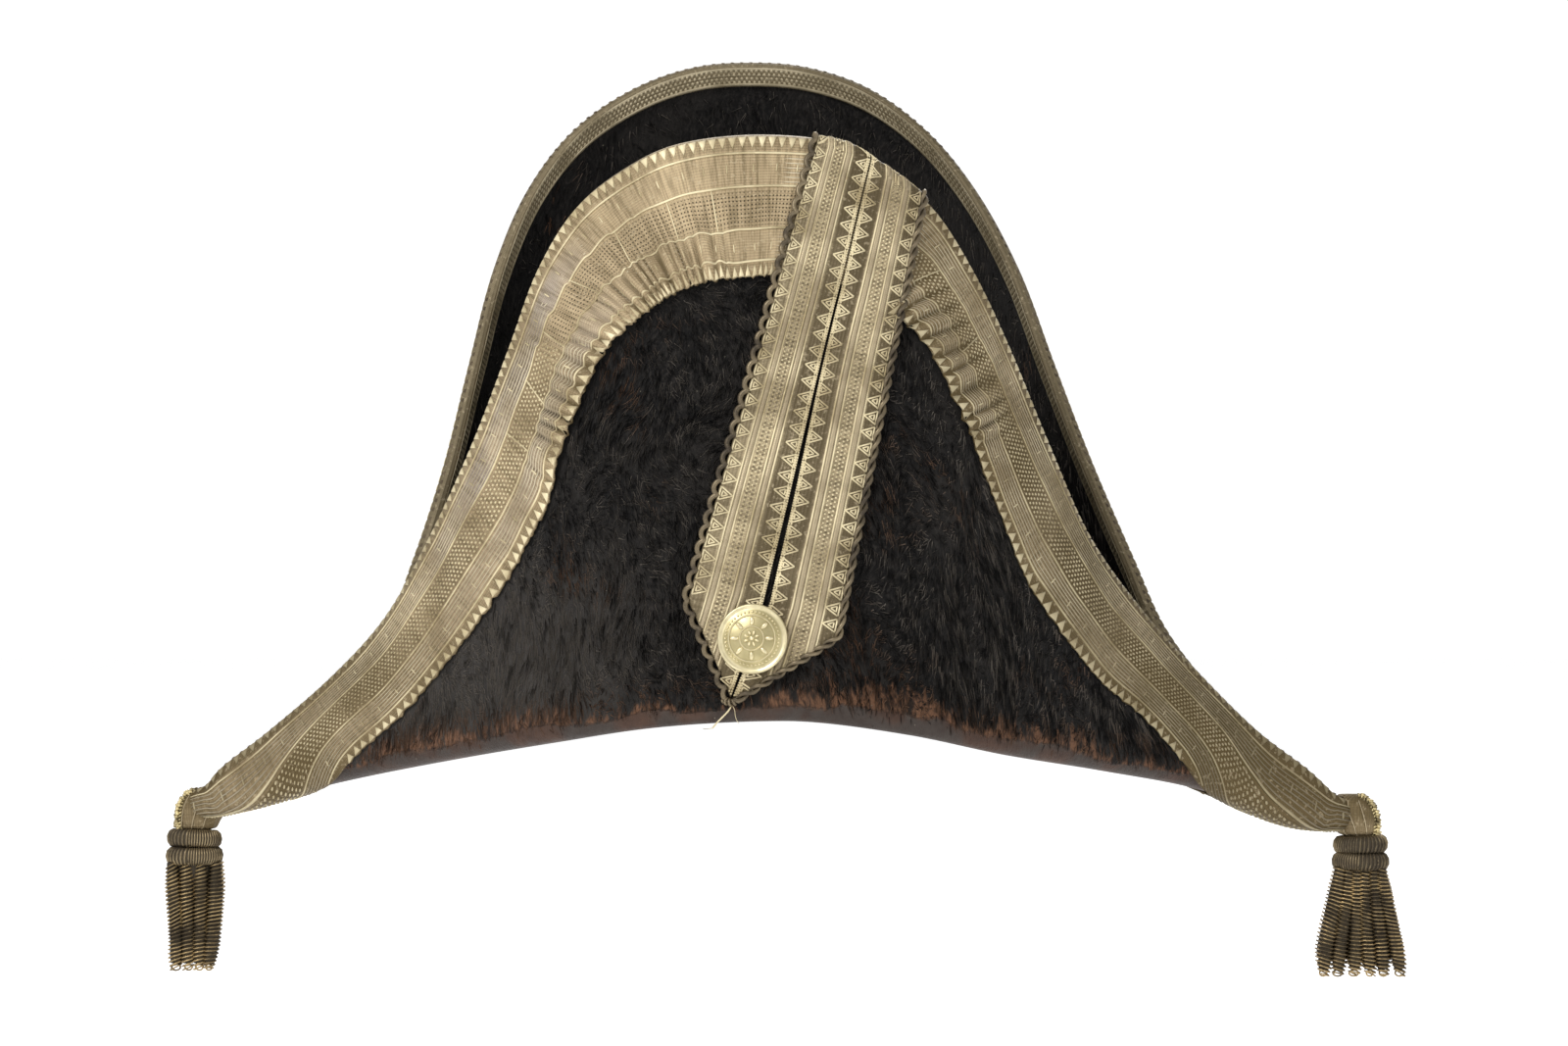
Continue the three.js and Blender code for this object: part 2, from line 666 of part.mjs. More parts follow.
// Finds the front flap behind a place in the front view
function frontFlap(middle, stations) {
  const triangles = [];
  const frontCount = 2 * STEPS_PER_SIDE + 1;
  const corner = (i, back) => {
    const { point, normal, distance } = brimPath(middle, i, 0)[back];
    return { point, normal, inside: distance - laceWidth(middle, stations, i) };
  };
  for (let i = 0; i + 1 < frontCount; i += 1) {
    for (let k = 0; k + 1 < BRIM_ROWS; k += 1) {
      const a = corner(i, k);
      const b = corner(i + 1, k);
      const c = corner(i + 1, k + 1);
      const d = corner(i, k + 1);
      triangles.push([a, d, c], [a, c, b]);
    }
  }
  return (x, z) => {
    let best = null;
    triangles.forEach((triangle) => {
      const [a, b, c] = triangle.map((v) => v.point);
      const area = (b.x - a.x) * (c.z - a.z) - (c.x - a.x) * (b.z - a.z);
      const second = ((x - a.x) * (c.z - a.z) - (c.x - a.x) * (z - a.z)) / area;
      const third = ((b.x - a.x) * (z - a.z) - (x - a.x) * (b.z - a.z)) / area;
      const weights = [1 - second - third, second, third];
      const margin = Math.min(...weights);
      if (!best || margin > best.margin) {
        best = { triangle, weights, margin };
      }
    });
    const sum = { point: vector(0, 0, 0), normal: vector(0, 0, 0), inside: 0 };
    best.triangle.forEach((v, k) => {
      sum.point.addScaledVector(v.point, best.weights[k]);
      sum.normal.addScaledVector(v.normal, best.weights[k]);
      sum.inside += v.inside * best.weights[k];
    });
    sum.normal.normalize();
    return sum;
  };
}

// Height of what lies under the loop: the band near the flap's edge, the felt further in
function loopBase(inside) {
  const onFelt = FELT_THICKNESS / 2 + LOOP_GAP;
  const onBand = onFelt + LACE_THICKNESS + GAP;
  return onBand + (onFelt - onBand) * clamp((inside - 2) / 14, 0, 1);
}

// The flap's edge at a given place across, between two stations
function edgeAt(middle, x) {
  let station = 0;
  while (brimPath(middle, station + 1, 0)[0].point.x < x) {
    station += 1;
  }
  const start = brimPath(middle, station, 0)[0].point.x;
  const end = brimPath(middle, station + 1, 0)[0].point.x;
  const path = brimPath(middle, station, (x - start) / (end - start));
  return { point: path[0].point, normal: path[0].normal, out: edgeDirection(path) };
}

// Side lines of the loop in the front view, as functions of the share of their length
function loopLines(middle) {
  const top = (x) => {
    const { point } = edgeAt(middle, x);
    return new THREE.Vector2(point.x, point.z);
  };
  const flat = ({ across, up }) => new THREE.Vector2(across, up);
  const line = (from, to) => (share) => from.clone().lerp(to, share);
  const kink = flat(LOOP_SLIT_KINK);
  const slit = (side) => (share) => {
    const start = top(LOOP_TOP_MIDDLE);
    const foot = flat(LOOP_POINT);
    const turn = LOOP_SLIT_KINK.share;
    const spot = share < turn ? start.lerp(kink, share / turn)
      : kink.clone().lerp(foot, (share - turn) / (1 - turn));
    const open = SLIT_WIDTH * clamp(share / turn, 0.4, 1) * (share > turn ? 0.5 : 1);
    spot.x += side * (open / 2);
    return spot;
  };
  return {
    left: line(top(LOOP_TOP_LEFT), flat(LOOP_LEFT_CORNER)),
    leftOfSlit: slit(-1),
    rightOfSlit: slit(1),
    right: line(top(LOOP_TOP_RIGHT), flat(LOOP_RIGHT_CORNER)),
  };
}

function stripGeometry(middle, flap, leftLine, rightLine) {
  const rows = 14;
  const columns = 3;
  const grid = (face) => {
    const lift = face * LACE_THICKNESS;
    const lines = [];
    for (let i = 0; i <= columns; i += 1) {
      const across = i / columns;
      const points = [];
      for (let k = rows; k >= 1; k -= 1) {
        const spot = leftLine(k / rows).lerp(rightLine(k / rows), across);
        const { point, normal, inside } = flap(spot.x, spot.y);
        points.push(point.addScaledVector(normal, loopBase(inside) + lift));
      }
      const start = leftLine(0).lerp(rightLine(0), across);
      const { point, normal, out } = edgeAt(middle, start.x);
      const height = loopBase(-LACE_WIDTH) + lift;
      const over = GAP + LACE_THICKNESS + LOOP_GAP + lift;
      points.push(point.clone().addScaledVector(normal, height).addScaledVector(out, over));
      points.push(point.clone().addScaledVector(normal, -height).addScaledVector(out, over));
      points.push(point.addScaledVector(normal, -height).addScaledVector(out, -LACE_TURNOVER));
      lines.push(points);
    }
    return lines;
  };
  return sheetGeometry(grid(0), grid(1));
}

// A round cord through a line of points
function cordGeometry(points, radius, sides) {
  const count = points.length;
  let side = vector(1, 0, 0);
  const rings = points.map((centre, i) => {
    const ahead = points[Math.min(i + 1, count - 1)];
    const way = ahead.clone().sub(points[Math.max(i - 1, 0)]).normalize();
    side.addScaledVector(way, -side.dot(way)).normalize();
    const up = way.clone().cross(side);
    return Array.from({ length: sides }, (_, k) => {
      const angle = (2 * Math.PI * k) / sides;
      return centre.clone()
        .addScaledVector(side, radius * Math.cos(angle))
        .addScaledVector(up, radius * Math.sin(angle));
    });
  });
  return loftGeometry(rings, false);
}

// A cord lies just outside a strip's edge and follows it down to the loop's point
function loopCordGeometry(middle, flap, line, hand, wave) {
  const aside = CORD_RADIUS + GAP + wave;
  const way = line(1).sub(line(0)).normalize();
  const outwards = new THREE.Vector2(-way.y, way.x).multiplyScalar(-hand * Math.sign(way.y));
  const start = line(0).addScaledVector(outwards, aside);
  const corner = line(1).addScaledVector(outwards, aside);
  const foot = new THREE.Vector2(
    LOOP_POINT.across + hand * (CORD_RADIUS + GAP),
    LOOP_POINT.up - aside * 1.3,
  );
  const place = (spot) => {
    const { point, normal, inside } = flap(spot.x, spot.y);
    return point.addScaledVector(normal, loopBase(inside) + CORD_RADIUS);
  };
  const edge = edgeAt(middle, start.x);
  const height = loopBase(-LACE_WIDTH) + CORD_RADIUS;
  const over = GAP + LACE_THICKNESS + GAP + CORD_RADIUS;
  const overEdge = (side, out) => edge.point.clone()
    .addScaledVector(edge.normal, side * height)
    .addScaledVector(edge.out, out);
  const points = [overEdge(-1, -2), overEdge(-0.75, over), overEdge(0.75, over), overEdge(1, -1.5)];
  const steps = Math.round(start.distanceTo(corner) / (wave > 0 ? CORD_PITCH : 2 * CORD_PITCH));
  for (let i = 1; i < steps; i += 1) {
    const swing = i % 2 ? wave : -wave;
    points.push(place(start.clone().lerp(corner, i / steps).addScaledVector(outwards, swing)));
  }
  points.push(place(corner));
  const footSteps = Math.round(corner.distanceTo(foot) / (2 * CORD_PITCH));
  for (let i = 1; i <= footSteps; i += 1) {
    points.push(place(corner.clone().lerp(foot, i / footSteps)));
  }
  return cordGeometry(points, CORD_RADIUS, 5);
}

function buttonGeometry(flap) {
  const { point, normal } = flap(BUTTON_PLACE.across, BUTTON_PLACE.up);
  const R = BUTTON_RADIUS;
  const rise = BUTTON_RISE;
  const profile = [
    [0, 0],
    [R * 0.8, 0],
    [R * 0.97, rise * 0.22],
    [R, rise * 0.4],
    [R * 0.97, rise * 0.56],
    [R * 0.9, rise * 0.56],
    [R * 0.62, rise * 0.82],
    [R * 0.3, rise * 0.96],
    [0, rise],
  ].map(([r, z]) => new THREE.Vector2(r, z));
  const segments = 18;
  const rings = profile.slice(1, -1).map((p) => (
    Array.from({ length: segments }, (_, k) => {
      const angle = (2 * Math.PI * k) / segments;
      return vector(p.x * Math.cos(angle), p.x * Math.sin(angle), p.y);
    })
  ));
  rings.push(rings[rings.length - 1].map((p) => vector(p.x * 0.1, p.y * 0.1, rise)));
  const turn = new THREE.Quaternion().setFromUnitVectors(vector(0, 0, 1), normal);
  const seat = loopBase(LACE_WIDTH) + LACE_THICKNESS + GAP;
  const origin = point.clone().addScaledVector(normal, seat);
  const placed = rings.map((ring) => ring.map((p) => p.applyQuaternion(turn).add(origin)));
  return loftGeometry(placed, false);
}

// An oval ring of points, level or tilted, round a centre
function oval(centre, half, sides) {
  return Array.from({ length: sides }, (_, k) => {
    const angle = (2 * Math.PI * k) / sides;
    return vector(centre.x + half.across * Math.cos(angle), centre.y + half.deep * Math.sin(angle), centre.z);
  });
}

// A tassel's place across, and the levels of its tab's top and of its upper ring
function tasselAt(hand) {
  const tassel = TASSELS[handName(hand)];
  return {
    ...tassel,
    across: hand * (reach(hand) + tassel.beyondTip),
    tabTop: TIP_LEVEL[handName(hand)] - tassel.tabBelow,
    ringTop: foldLevel(hand * (reach(hand) - TIP_RADIUS)) - tassel.ringBelow,
  };
}

// The lace end that hangs over a horn's tip and holds the rings
function tabGeometry(tassel, hand) {
  const { across, tabTop, ringTop } = tassel;
  const level = (z, x, half) => oval(vector(x, 0, z), half, 12);
  const onHorn = FELT_THICKNESS / 2 + GAP + LACE_THICKNESS;
  const under = foldLevel(hand * (reach(hand) - TIP_RADIUS)) - onHorn - GAP;
  const beside = hand * (reach(hand) + 1 + onHorn + GAP + TAB_END_HALF.across);
  const rings = [
    level(ringTop - RING_SECTION.up * 0.5, across, TASSEL_HEAD_HALF),
    level(ringTop + GAP, across, TASSEL_HEAD_HALF),
    level(ringTop + GAP + 0.5, across, { across: TAB_HALF.across, deep: TAB_HALF.deep * 0.8 }),
    level(under, (across * 3 + beside) / 4, { across: TAB_HALF.across * 0.9, deep: TAB_HALF.deep * 1.2 }),
    level(under + 1.6, beside, TAB_END_HALF),
    level((under + tabTop) / 2 + 1, beside, { across: TAB_END_HALF.across * 0.8, deep: TAB_END_HALF.deep }),
    level(tabTop, beside - hand * 0.8, { across: TAB_END_HALF.across * 0.5, deep: TAB_END_HALF.deep * 0.8 }),
  ];
  return loftGeometry(rings, false);
}

function ringGeometry(tassel, order) {
  const level = tassel.ringTop - RING_RISE / 2 - order * (RING_RISE + GAP);
  const grow = 1 + 0.06 * order;
  const rings = [];
  const steps = 12;
  for (let i = 0; i < steps; i += 1) {
    const angle = (2 * Math.PI * i) / steps;
    const centre = vector(
      tassel.across + RING_HALF.across * grow * Math.cos(angle),
      RING_HALF.deep * grow * Math.sin(angle),
      level,
    );
    const outwards = vector(Math.cos(angle), Math.sin(angle), 0);
    const ring = [];
    for (let k = 0; k < 6; k += 1) {
      const turn = (-2 * Math.PI * k) / 6;
      ring.push(centre.clone()
        .addScaledVector(outwards, RING_SECTION.outwards * Math.cos(turn))
        .add(vector(0, 0, RING_SECTION.up * Math.sin(turn))));
    }
    rings.push(ring);
  }
  return loftGeometry(rings, true);
}

function toManifold(geometry) {
  return new wasm.Manifold(new wasm.Mesh({
    numProp: 3,
    vertProperties: geometry.attributes.position.array,
    triVerts: new Uint32Array(geometry.index.array),
  }));
}

function fromManifold(solid) {
  const mesh = solid.getMesh();
  const geometry = new THREE.BufferGeometry();
  geometry.setAttribute('position', new THREE.BufferAttribute(new Float32Array(mesh.vertProperties), 3));
  geometry.setIndex(Array.from(mesh.triVerts));
  return geometry;
}

// Bullion ropes in two rows, fused to the head that the rings bind
function fringeGeometry(tassel) {
  const { across, ringTop, ropes, topSpread, footSpread } = tassel;
  const under = ringTop - 2 * (RING_RISE + GAP);
  const head = [
    oval(vector(across, 0, ringTop - RING_SECTION.up * 0.5 - GAP), TASSEL_HEAD_HALF, 10),
    oval(vector(across, 0, under), TASSEL_NECK_HALF, 10),
    oval(vector(across, 0, under - TASSEL_CORE_LENGTH), TASSEL_CORE_HALF, 10),
  ].reverse();
  let fringe = toManifold(loftGeometry(head, false));
  const lengths = [0, 0.35, 1];
  const sizes = [0.75, 1, 0.65];
  for (let row = 0; row < 2; row += 1) {
    const side = row === 0 ? FRONT : BACK;
    for (let i = 0; i < ropes; i += 1) {
      const place = (2 * i) / (ropes - 1) - 1;
      const drop = FRINGE_LENGTH * (1 - 0.05 * ((i * 3 + row * 2) % 3));
      const rings = lengths.map((t, k) => {
        const spread = THREE.MathUtils.lerp(topSpread, footSpread, t) * place;
        const deep = TASSEL_CORE_HALF.deep - 0.4 + 0.6 * t;
        const centre = vector(across + spread, side * deep, under - drop * t);
        const radius = ROPE_RADIUS * sizes[k];
        return oval(centre, { across: radius, deep: radius }, 6);
      }).reverse();
      fringe = fringe.add(toManifold(loftGeometry(rings, false)));
    }
  }
  return fromManifold(fringe);
}

function mesh(name, geometry, finish) {
  const made = new THREE.Mesh(geometry, new THREE.MeshStandardMaterial(finish));
  made.name = name;
  return made;
}

function buildHat() {
  const stations = buildStations();
  const middle = middleSurface(buildPaths(stations));
  const flap = frontFlap(middle, stations);
  const lines = loopLines(middle);
  const count = stations.length;
  const frontEnd = 2 * STEPS_PER_SIDE;
  const backStart = frontEnd + TIP_ANGLES.length / 2 + 1;
  const backEnd = count - TIP_ANGLES.length / 2 - 1;
  const hat = new THREE.Group();
  hat.add(mesh('felt_body', feltGeometry(middle), FELT));
  const frontBand = bandGeometry(middle, stations, count - 2, count + frontEnd + 2, false);
  hat.add(mesh('front_lace', frontBand, LACE));
  const backBand = bandGeometry(middle, stations, backStart, backEnd, true);
  hat.add(mesh('back_lace', backBand, DARK_LACE));
  const leftStrip = stripGeometry(middle, flap, lines.left, lines.leftOfSlit);
  hat.add(mesh('loop_strip_left', leftStrip, LACE));
  const rightStrip = stripGeometry(middle, flap, lines.rightOfSlit, lines.right);
  hat.add(mesh('loop_strip_right', rightStrip, LACE));
  const leftCord = loopCordGeometry(middle, flap, lines.left, LEFT, CORD_WAVE);
  hat.add(mesh('loop_cord_left', leftCord, CORD));
  const rightCord = loopCordGeometry(middle, flap, lines.right, RIGHT, 0);
  hat.add(mesh('loop_cord_right', rightCord, CORD));
  hat.add(mesh('button', buttonGeometry(flap), BRASS));
  [LEFT, RIGHT].forEach((hand) => {
    const name = handName(hand);
    const tassel = tasselAt(hand);
    hat.add(mesh(`tassel_tab_${name}`, tabGeometry(tassel, hand), DARK_LACE));
    hat.add(mesh(`tassel_ring_upper_${name}`, ringGeometry(tassel, 0), BULLION));
    hat.add(mesh(`tassel_ring_lower_${name}`, ringGeometry(tassel, 1), BULLION));
    hat.add(mesh(`tassel_fringe_${name}`, fringeGeometry(tassel), BULLION));
  });
  return hat;
}

export default buildHat();
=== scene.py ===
"""A bicorne hat of black felt with metal lace, a lace loop, a brass button and bullion tassels.

Lengths are in millimetres until a mesh is made, which is in metres.
The front faces -Y, +X is the viewer's right and +Z is up.
"""

import logging
import math
from collections.abc import Callable, Sequence
from dataclasses import dataclass, field
from enum import Enum

import bpy
import numpy as np
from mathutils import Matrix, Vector


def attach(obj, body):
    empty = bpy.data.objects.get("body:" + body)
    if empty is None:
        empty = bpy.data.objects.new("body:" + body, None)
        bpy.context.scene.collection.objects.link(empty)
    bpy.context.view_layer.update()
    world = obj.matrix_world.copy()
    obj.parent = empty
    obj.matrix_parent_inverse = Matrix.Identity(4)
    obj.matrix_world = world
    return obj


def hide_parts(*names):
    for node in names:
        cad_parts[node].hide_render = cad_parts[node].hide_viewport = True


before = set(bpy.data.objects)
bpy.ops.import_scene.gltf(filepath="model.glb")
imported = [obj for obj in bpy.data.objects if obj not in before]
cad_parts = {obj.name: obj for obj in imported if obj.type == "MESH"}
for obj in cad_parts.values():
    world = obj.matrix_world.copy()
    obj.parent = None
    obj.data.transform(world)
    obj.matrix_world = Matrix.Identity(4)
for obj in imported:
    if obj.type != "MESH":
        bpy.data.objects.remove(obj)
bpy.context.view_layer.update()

Array = np.ndarray
Lay = Callable[[Array], Array]

METRES = 0.001
BODY = "root"
TAU = 2 * math.pi
# Below this sine a line counts as upright, and past this share a station as a horn's end.
UPRIGHT = 0.05
HORN_END = 0.999

log = logging.getLogger("hat")


class Hand(Enum):
    """A side of the hat, as the viewer sees it."""

    LEFT = -1
    RIGHT = 1


class Face(Enum):
    """A flap of the hat."""

    FRONT = -1
    BACK = 1


# Curves and noise


def smooth_column(keys: Sequence[float], values: Sequence[float], at: Array) -> Array:
    """Read a smooth value from a table's column.

    Args:
        keys: the table's growing key column.
        values: the column to read.
        at: the places to read it at.

    Returns:
        The values there, level at the first row.
    """
    key = np.asarray(keys, float)
    value = np.asarray(values, float)
    spot = np.clip(at, key[0], key[-1])
    i = np.clip(np.searchsorted(key, spot) - 1, 0, len(key) - 2)
    slope = np.zeros(len(key))
    slope[1:-1] = (value[2:] - value[:-2]) / (key[2:] - key[:-2])
    slope[-1] = (value[-1] - value[-2]) / (key[-1] - key[-2])
    span = key[i + 1] - key[i]
    t = (spot - key[i]) / span
    start = (1 - t) ** 2 * (value[i] * (1 + 2 * t) + slope[i] * span * t)
    return start + t**2 * (value[i + 1] * (3 - 2 * t) - slope[i + 1] * span * (1 - t))


def smooth_line(points: Array, steps: int = 40) -> tuple[Array, Array]:
    """Draw a centripetal Catmull-Rom curve through points.

    Args:
        points: the points to pass, one per row.
        steps: how many parts each stretch is cut into.

    Returns:
        The curve's points, and the index in it of each given point.
    """
    ends = np.vstack([2 * points[0] - points[1], points, 2 * points[-1] - points[-2]])
    gaps = np.linalg.norm(np.diff(ends, axis=0), axis=1) ** 0.5
    t = np.linspace(0, 1, steps, endpoint=False)[:, None]
    parts = []
    for i in range(1, len(ends) - 2):
        before, start, end, after = ends[i - 1 : i + 3]
        a, b, c = gaps[i - 1 : i + 2]
        leave = ((start - before) / a - (end - before) / (a + b) + (end - start) / b) * b
        enter = ((end - start) / b - (after - start) / (b + c) + (after - end) / c) * b
        cubic = 2 * start - 2 * end + leave + enter
        square = -3 * start + 3 * end - 2 * leave - enter
        parts.append(start + leave * t + square * t**2 + cubic * t**3)
    parts.append(points[-1:])
    return np.vstack(parts), np.arange(len(points)) * steps


def unit(vectors: Array) -> Array:
    """Scale vectors to length one."""
    return vectors / np.maximum(np.linalg.norm(vectors, axis=-1, keepdims=True), 1e-9)


def steps_along(points: Array) -> Array:
    """Give the distance along a line of points at each of them."""
    gaps = np.linalg.norm(np.diff(points, axis=0), axis=1)
    return np.concatenate([[0.0], np.cumsum(gaps)])


def read_line(points: Array, distances: Array, at: Array) -> Array:
    """Read a line of points at distances along it."""
    return np.stack([np.interp(at, distances, points[:, k]) for k in range(points.shape[1])], -1)


def blurred(values: Array, width: float) -> Array:
    """Smooth a row of values with a bell curve that is width samples wide."""
    reach = int(3 * width)
    bell = np.exp(-0.5 * (np.arange(-reach, reach + 1) / width) ** 2)
    padded = np.pad(values, reach, mode="edge")
    return np.convolve(padded, bell / bell.sum(), mode="valid")


def blurred_columns(values: Array, width: float) -> Array:
    """Smooth each column of a table."""
    return np.stack([blurred(values[:, k], width) for k in range(values.shape[1])], -1)


def stacked(*values: Array | float) -> Array:
    """Put coordinates side by side; a single number fills its whole column."""
    return np.stack(np.broadcast_arrays(*values), -1).astype(float)


def ripple(points: Array, wave: float, seed: int, waves: int = 9) -> Array:
    """Give smooth random heights at points, from about -1 to 1.

    Args:
        points: the places, one per row, in any number of dimensions.
        wave: the usual wavelength.
        seed: the number that fixes the pattern.
        waves: how many waves are added up.

    Returns:
        One height per point.
    """
    random = np.random.default_rng(seed)
    ways = unit(random.normal(size=(waves, points.shape[-1])))
    rates = TAU / (wave * random.uniform(0.6, 1.7, waves))
    phases = random.uniform(0, TAU, waves)
    return np.sin(points @ (ways * rates[:, None]).T + phases).sum(-1) / math.sqrt(waves)


def ramp(values: Array, start: float, end: float) -> Array:
    """Rise smoothly from 0 at start to 1 at end."""
    t = np.clip((values - start) / (end - start), 0, 1)
    return t * t * (3 - 2 * t)


def within(values: Array, start: float, full: float, fade: float, end: float) -> Array:
    """Rise smoothly from 0 at start to 1 at full, and fall from 1 at fade to 0 at end."""
    return ramp(values, start, full) * ramp(-values, -end, -fade)


# Meshes


def put(name: str, points: Array, faces: Sequence, smooth: bool = True) -> bpy.types.Object:
    """Make an object whose place is in its mesh.

    Args:
        name: the piece's name.
        points: the vertices in millimetres.
        faces: the vertex numbers of each face.
        smooth: whether the faces are shaded smooth.

    Returns:
        The new object.
    """
    mesh = bpy.data.meshes.new(name)
    mesh.from_pydata((points * METRES).tolist(), [], [tuple(int(i) for i in f) for f in faces])
    mesh.polygons.foreach_set("use_smooth", [smooth] * len(mesh.polygons))
    mesh.update()
    made = bpy.data.objects.new(name, mesh)
    bpy.context.scene.collection.objects.link(made)
    return made


def pick_only(piece: bpy.types.Object) -> None:
    """Select one object alone and make it the active one."""
    bpy.ops.object.select_all(action="DESELECT")
    piece.select_set(True)
    bpy.context.view_layer.objects.active = piece


def add_map(piece: bpy.types.Object, name: str, values: Array) -> None:
    """Give a mesh a UV map from one pair of values per vertex."""
    layer = piece.data.uv_layers.new(name=name)
    corner = np.zeros(len(piece.data.loops), int)
    piece.data.loops.foreach_get("vertex_index", corner)
    layer.data.foreach_set("uv", values[corner].astype(np.float32).ravel())


def add_shade(piece: bpy.types.Object, name: str, values: Array) -> None:
    """Give a mesh one number per vertex that its material can read."""
    made = piece.data.attributes.new(name=name, type="FLOAT", domain="POINT")
    made.data.foreach_set("value", values.astype(np.float32))


def laid_grid(
    name: str, columns: int, rows: int, place: Callable[[Array, Array], Array], turned: bool = False
) -> tuple[bpy.types.Object, Array, Array]:
    """Add a flat grid and lay its vertices where a function puts them.

    Args:
        name: the piece's name.
        columns: how many faces it has along.
        rows: how many faces it has across.
        place: gives the point in millimetres for shares along and across.
        turned: whether the faces are turned round.

    Returns:
        The grid, and each vertex's share along and across.
    """
    bpy.ops.object.select_all(action="DESELECT")
    bpy.ops.mesh.primitive_grid_add(x_subdivisions=columns, y_subdivisions=rows, size=2)
    grid = bpy.context.object
    grid.name = name
    grid.data.name = name
    flat = np.zeros(len(grid.data.vertices) * 3, np.float32)
    grid.data.vertices.foreach_get("co", flat)
    flat = flat.reshape(-1, 3).astype(float)
    along = (flat[:, 0] + 1) / 2
    across = (flat[:, 1] + 1) / 2
    points = place(along, across) * METRES
    grid.data.vertices.foreach_set("co", points.astype(np.float32).ravel())
    if turned:
        grid.data.flip_normals()
    grid.data.polygons.foreach_set("use_smooth", [True] * len(grid.data.polygons))
    grid.data.update()
    return grid, along, across


def thicken(piece: bpy.types.Object, thickness: float, offset: float) -> None:
    """Give a sheet its thickness in millimetres, on the side that offset says."""
    pick_only(piece)
    modifier = piece.modifiers.new("wall", "SOLIDIFY")
    modifier.thickness = thickness * METRES
    modifier.offset = offset
    modifier.use_even_offset = False
    bpy.ops.object.modifier_apply(modifier=modifier.name)


def joined(name: str, parts: Sequence[bpy.types.Object], merge: float = 0.0) -> bpy.types.Object:
    """Join objects into the first one, and merge points closer than a distance in millimetres."""
    bpy.ops.object.select_all(action="DESELECT")
    for part in parts:
        part.select_set(True)
    bpy.context.view_layer.objects.active = parts[0]
    bpy.ops.object.join()
    made = bpy.context.object
    if merge:
        bpy.ops.object.mode_set(mode="EDIT")
        bpy.ops.mesh.select_all(action="SELECT")
        bpy.ops.mesh.remove_doubles(threshold=merge * METRES)
        bpy.ops.object.mode_set(mode="OBJECT")
    made.name = name
    made.data.name = name
    return made


@dataclass(frozen=True)
class Motif:
    """A small flat-bottomed or round shape that is drawn once and copied many times."""

    points: Array
    faces: tuple[tuple[int, ...], ...]

    @classmethod
    def taken(cls, half: tuple[float, float, float], shift: tuple[float, float, float]) -> "Motif":
        """Take the shape of the primitive just added, and remove it.

        Args:
            half: what its three coordinates are multiplied by.
            shift: what is then added to them.

        Returns:
            The motif in millimetres.
        """
        source = bpy.context.object
        points = np.array([tuple(v.co) for v in source.data.vertices]) * half + shift
        faces = tuple(tuple(p.vertices) for p in source.data.polygons)
        mesh = source.data
        bpy.data.objects.remove(source)
        bpy.data.meshes.remove(mesh)
        return cls(points, faces)


def bead_motif(long: float, wide: float, high: float, cuts: int = 1) -> Motif:
    """Make a rounded bead of the given half sizes, centred on its place."""
    bpy.ops.object.select_all(action="DESELECT")
    bpy.ops.mesh.primitive_ico_sphere_add(subdivisions=cuts, radius=1)
    return Motif.taken((long, wide, high), (0, 0, 0))


def tooth_motif(base: float, height: float, rise: float) -> Motif:
    """Make a raised triangle with its base on the line across = 0 and its tip at height."""
    bpy.ops.object.select_all(action="DESELECT")
    bpy.ops.mesh.primitive_cone_add(vertices=3, radius1=1, radius2=0.72, depth=1)
    motif = Motif.taken((1, 1, 1), (0, 0, 0))
    wide = np.ptp(motif.points[:, 0])
    top = motif.points[:, 1].max()
    low = motif.points[:, 1].min()
    points = motif.points.copy()
    points[:, 0] *= base / wide
    points[:, 1] = (points[:, 1] - low) * height / (top - low)
    points[:, 2] = (points[:, 2] + 0.5) * rise
    return Motif(points, motif.faces)


def bar_motif(long: float, wide: float, high: float) -> Motif:
    """Make a short raised bar of the given full sizes."""
    bpy.ops.object.select_all(action="DESELECT")
    bpy.ops.mesh.primitive_cube_add(size=1)
    bpy.ops.object.mode_set(mode="EDIT")
    bpy.ops.mesh.bevel(offset=0.2, segments=1, affect="EDGES")
    bpy.ops.object.mode_set(mode="OBJECT")
    return Motif.taken((long, wide, high), (0, 0, 0))


def rod_motif(long: float, wide: float, high: float) -> Motif:
    """Make a very small rod of the given full sizes, with only its plain faces."""
    bpy.ops.object.select_all(action="DESELECT")
    bpy.ops.mesh.primitive_cube_add(size=1)
    return Motif.taken((long, wide, high), (0, 0, 0))


@dataclass
class Relief:
    """Many small shapes that become one mesh."""

    points: list[Array] = field(default_factory=list)
    faces: list[tuple[int, ...]] = field(default_factory=list)
    count: int = 0

    def add(self, points: Array, faces: Sequence) -> None:
        """Add one shape.

        Args:
            points: its vertices.
            faces: the vertex numbers of its faces.
        """
        start = self.count
        self.points.append(points)
        self.faces.extend(tuple(int(i) + start for i in face) for face in faces)
        self.count += len(points)

    def copies(self, motif: Motif, places: Array, flip: Array | None = None) -> None:
        """Add a motif at many places.

        Args:
            motif: the shape to copy.
            places: along, across and height of each copy.
            flip: for each copy 1, or -1 where its across way is turned round.
        """
        size = len(motif.points)
        ways = np.ones(len(places)) if flip is None else flip
        points = np.repeat(motif.points[None], len(places), 0)
        points[:, :, 1] *= ways[:, None]
        points += places[:, None, :]
        faces = np.arange(len(places))[:, None] * size + self.count
        for start, way in zip(faces[:, 0], ways):
            for face in motif.faces:
                order = face if way > 0 else face[::-1]
                self.faces.append(tuple(int(start) + i for i in order))
        self.points.append(points.reshape(-1, 3))
        self.count += size * len(places)

    def piece(self, name: str, lay: Lay | None = None, smooth: bool = True) -> bpy.types.Object:
        """Make the mesh, laid on a surface where lay is given."""
        flat = np.vstack(self.points)
        made = put(name, lay(flat) if lay else flat, self.faces, smooth)
        add_map(made, "flat", flat[:, :2])
        return made


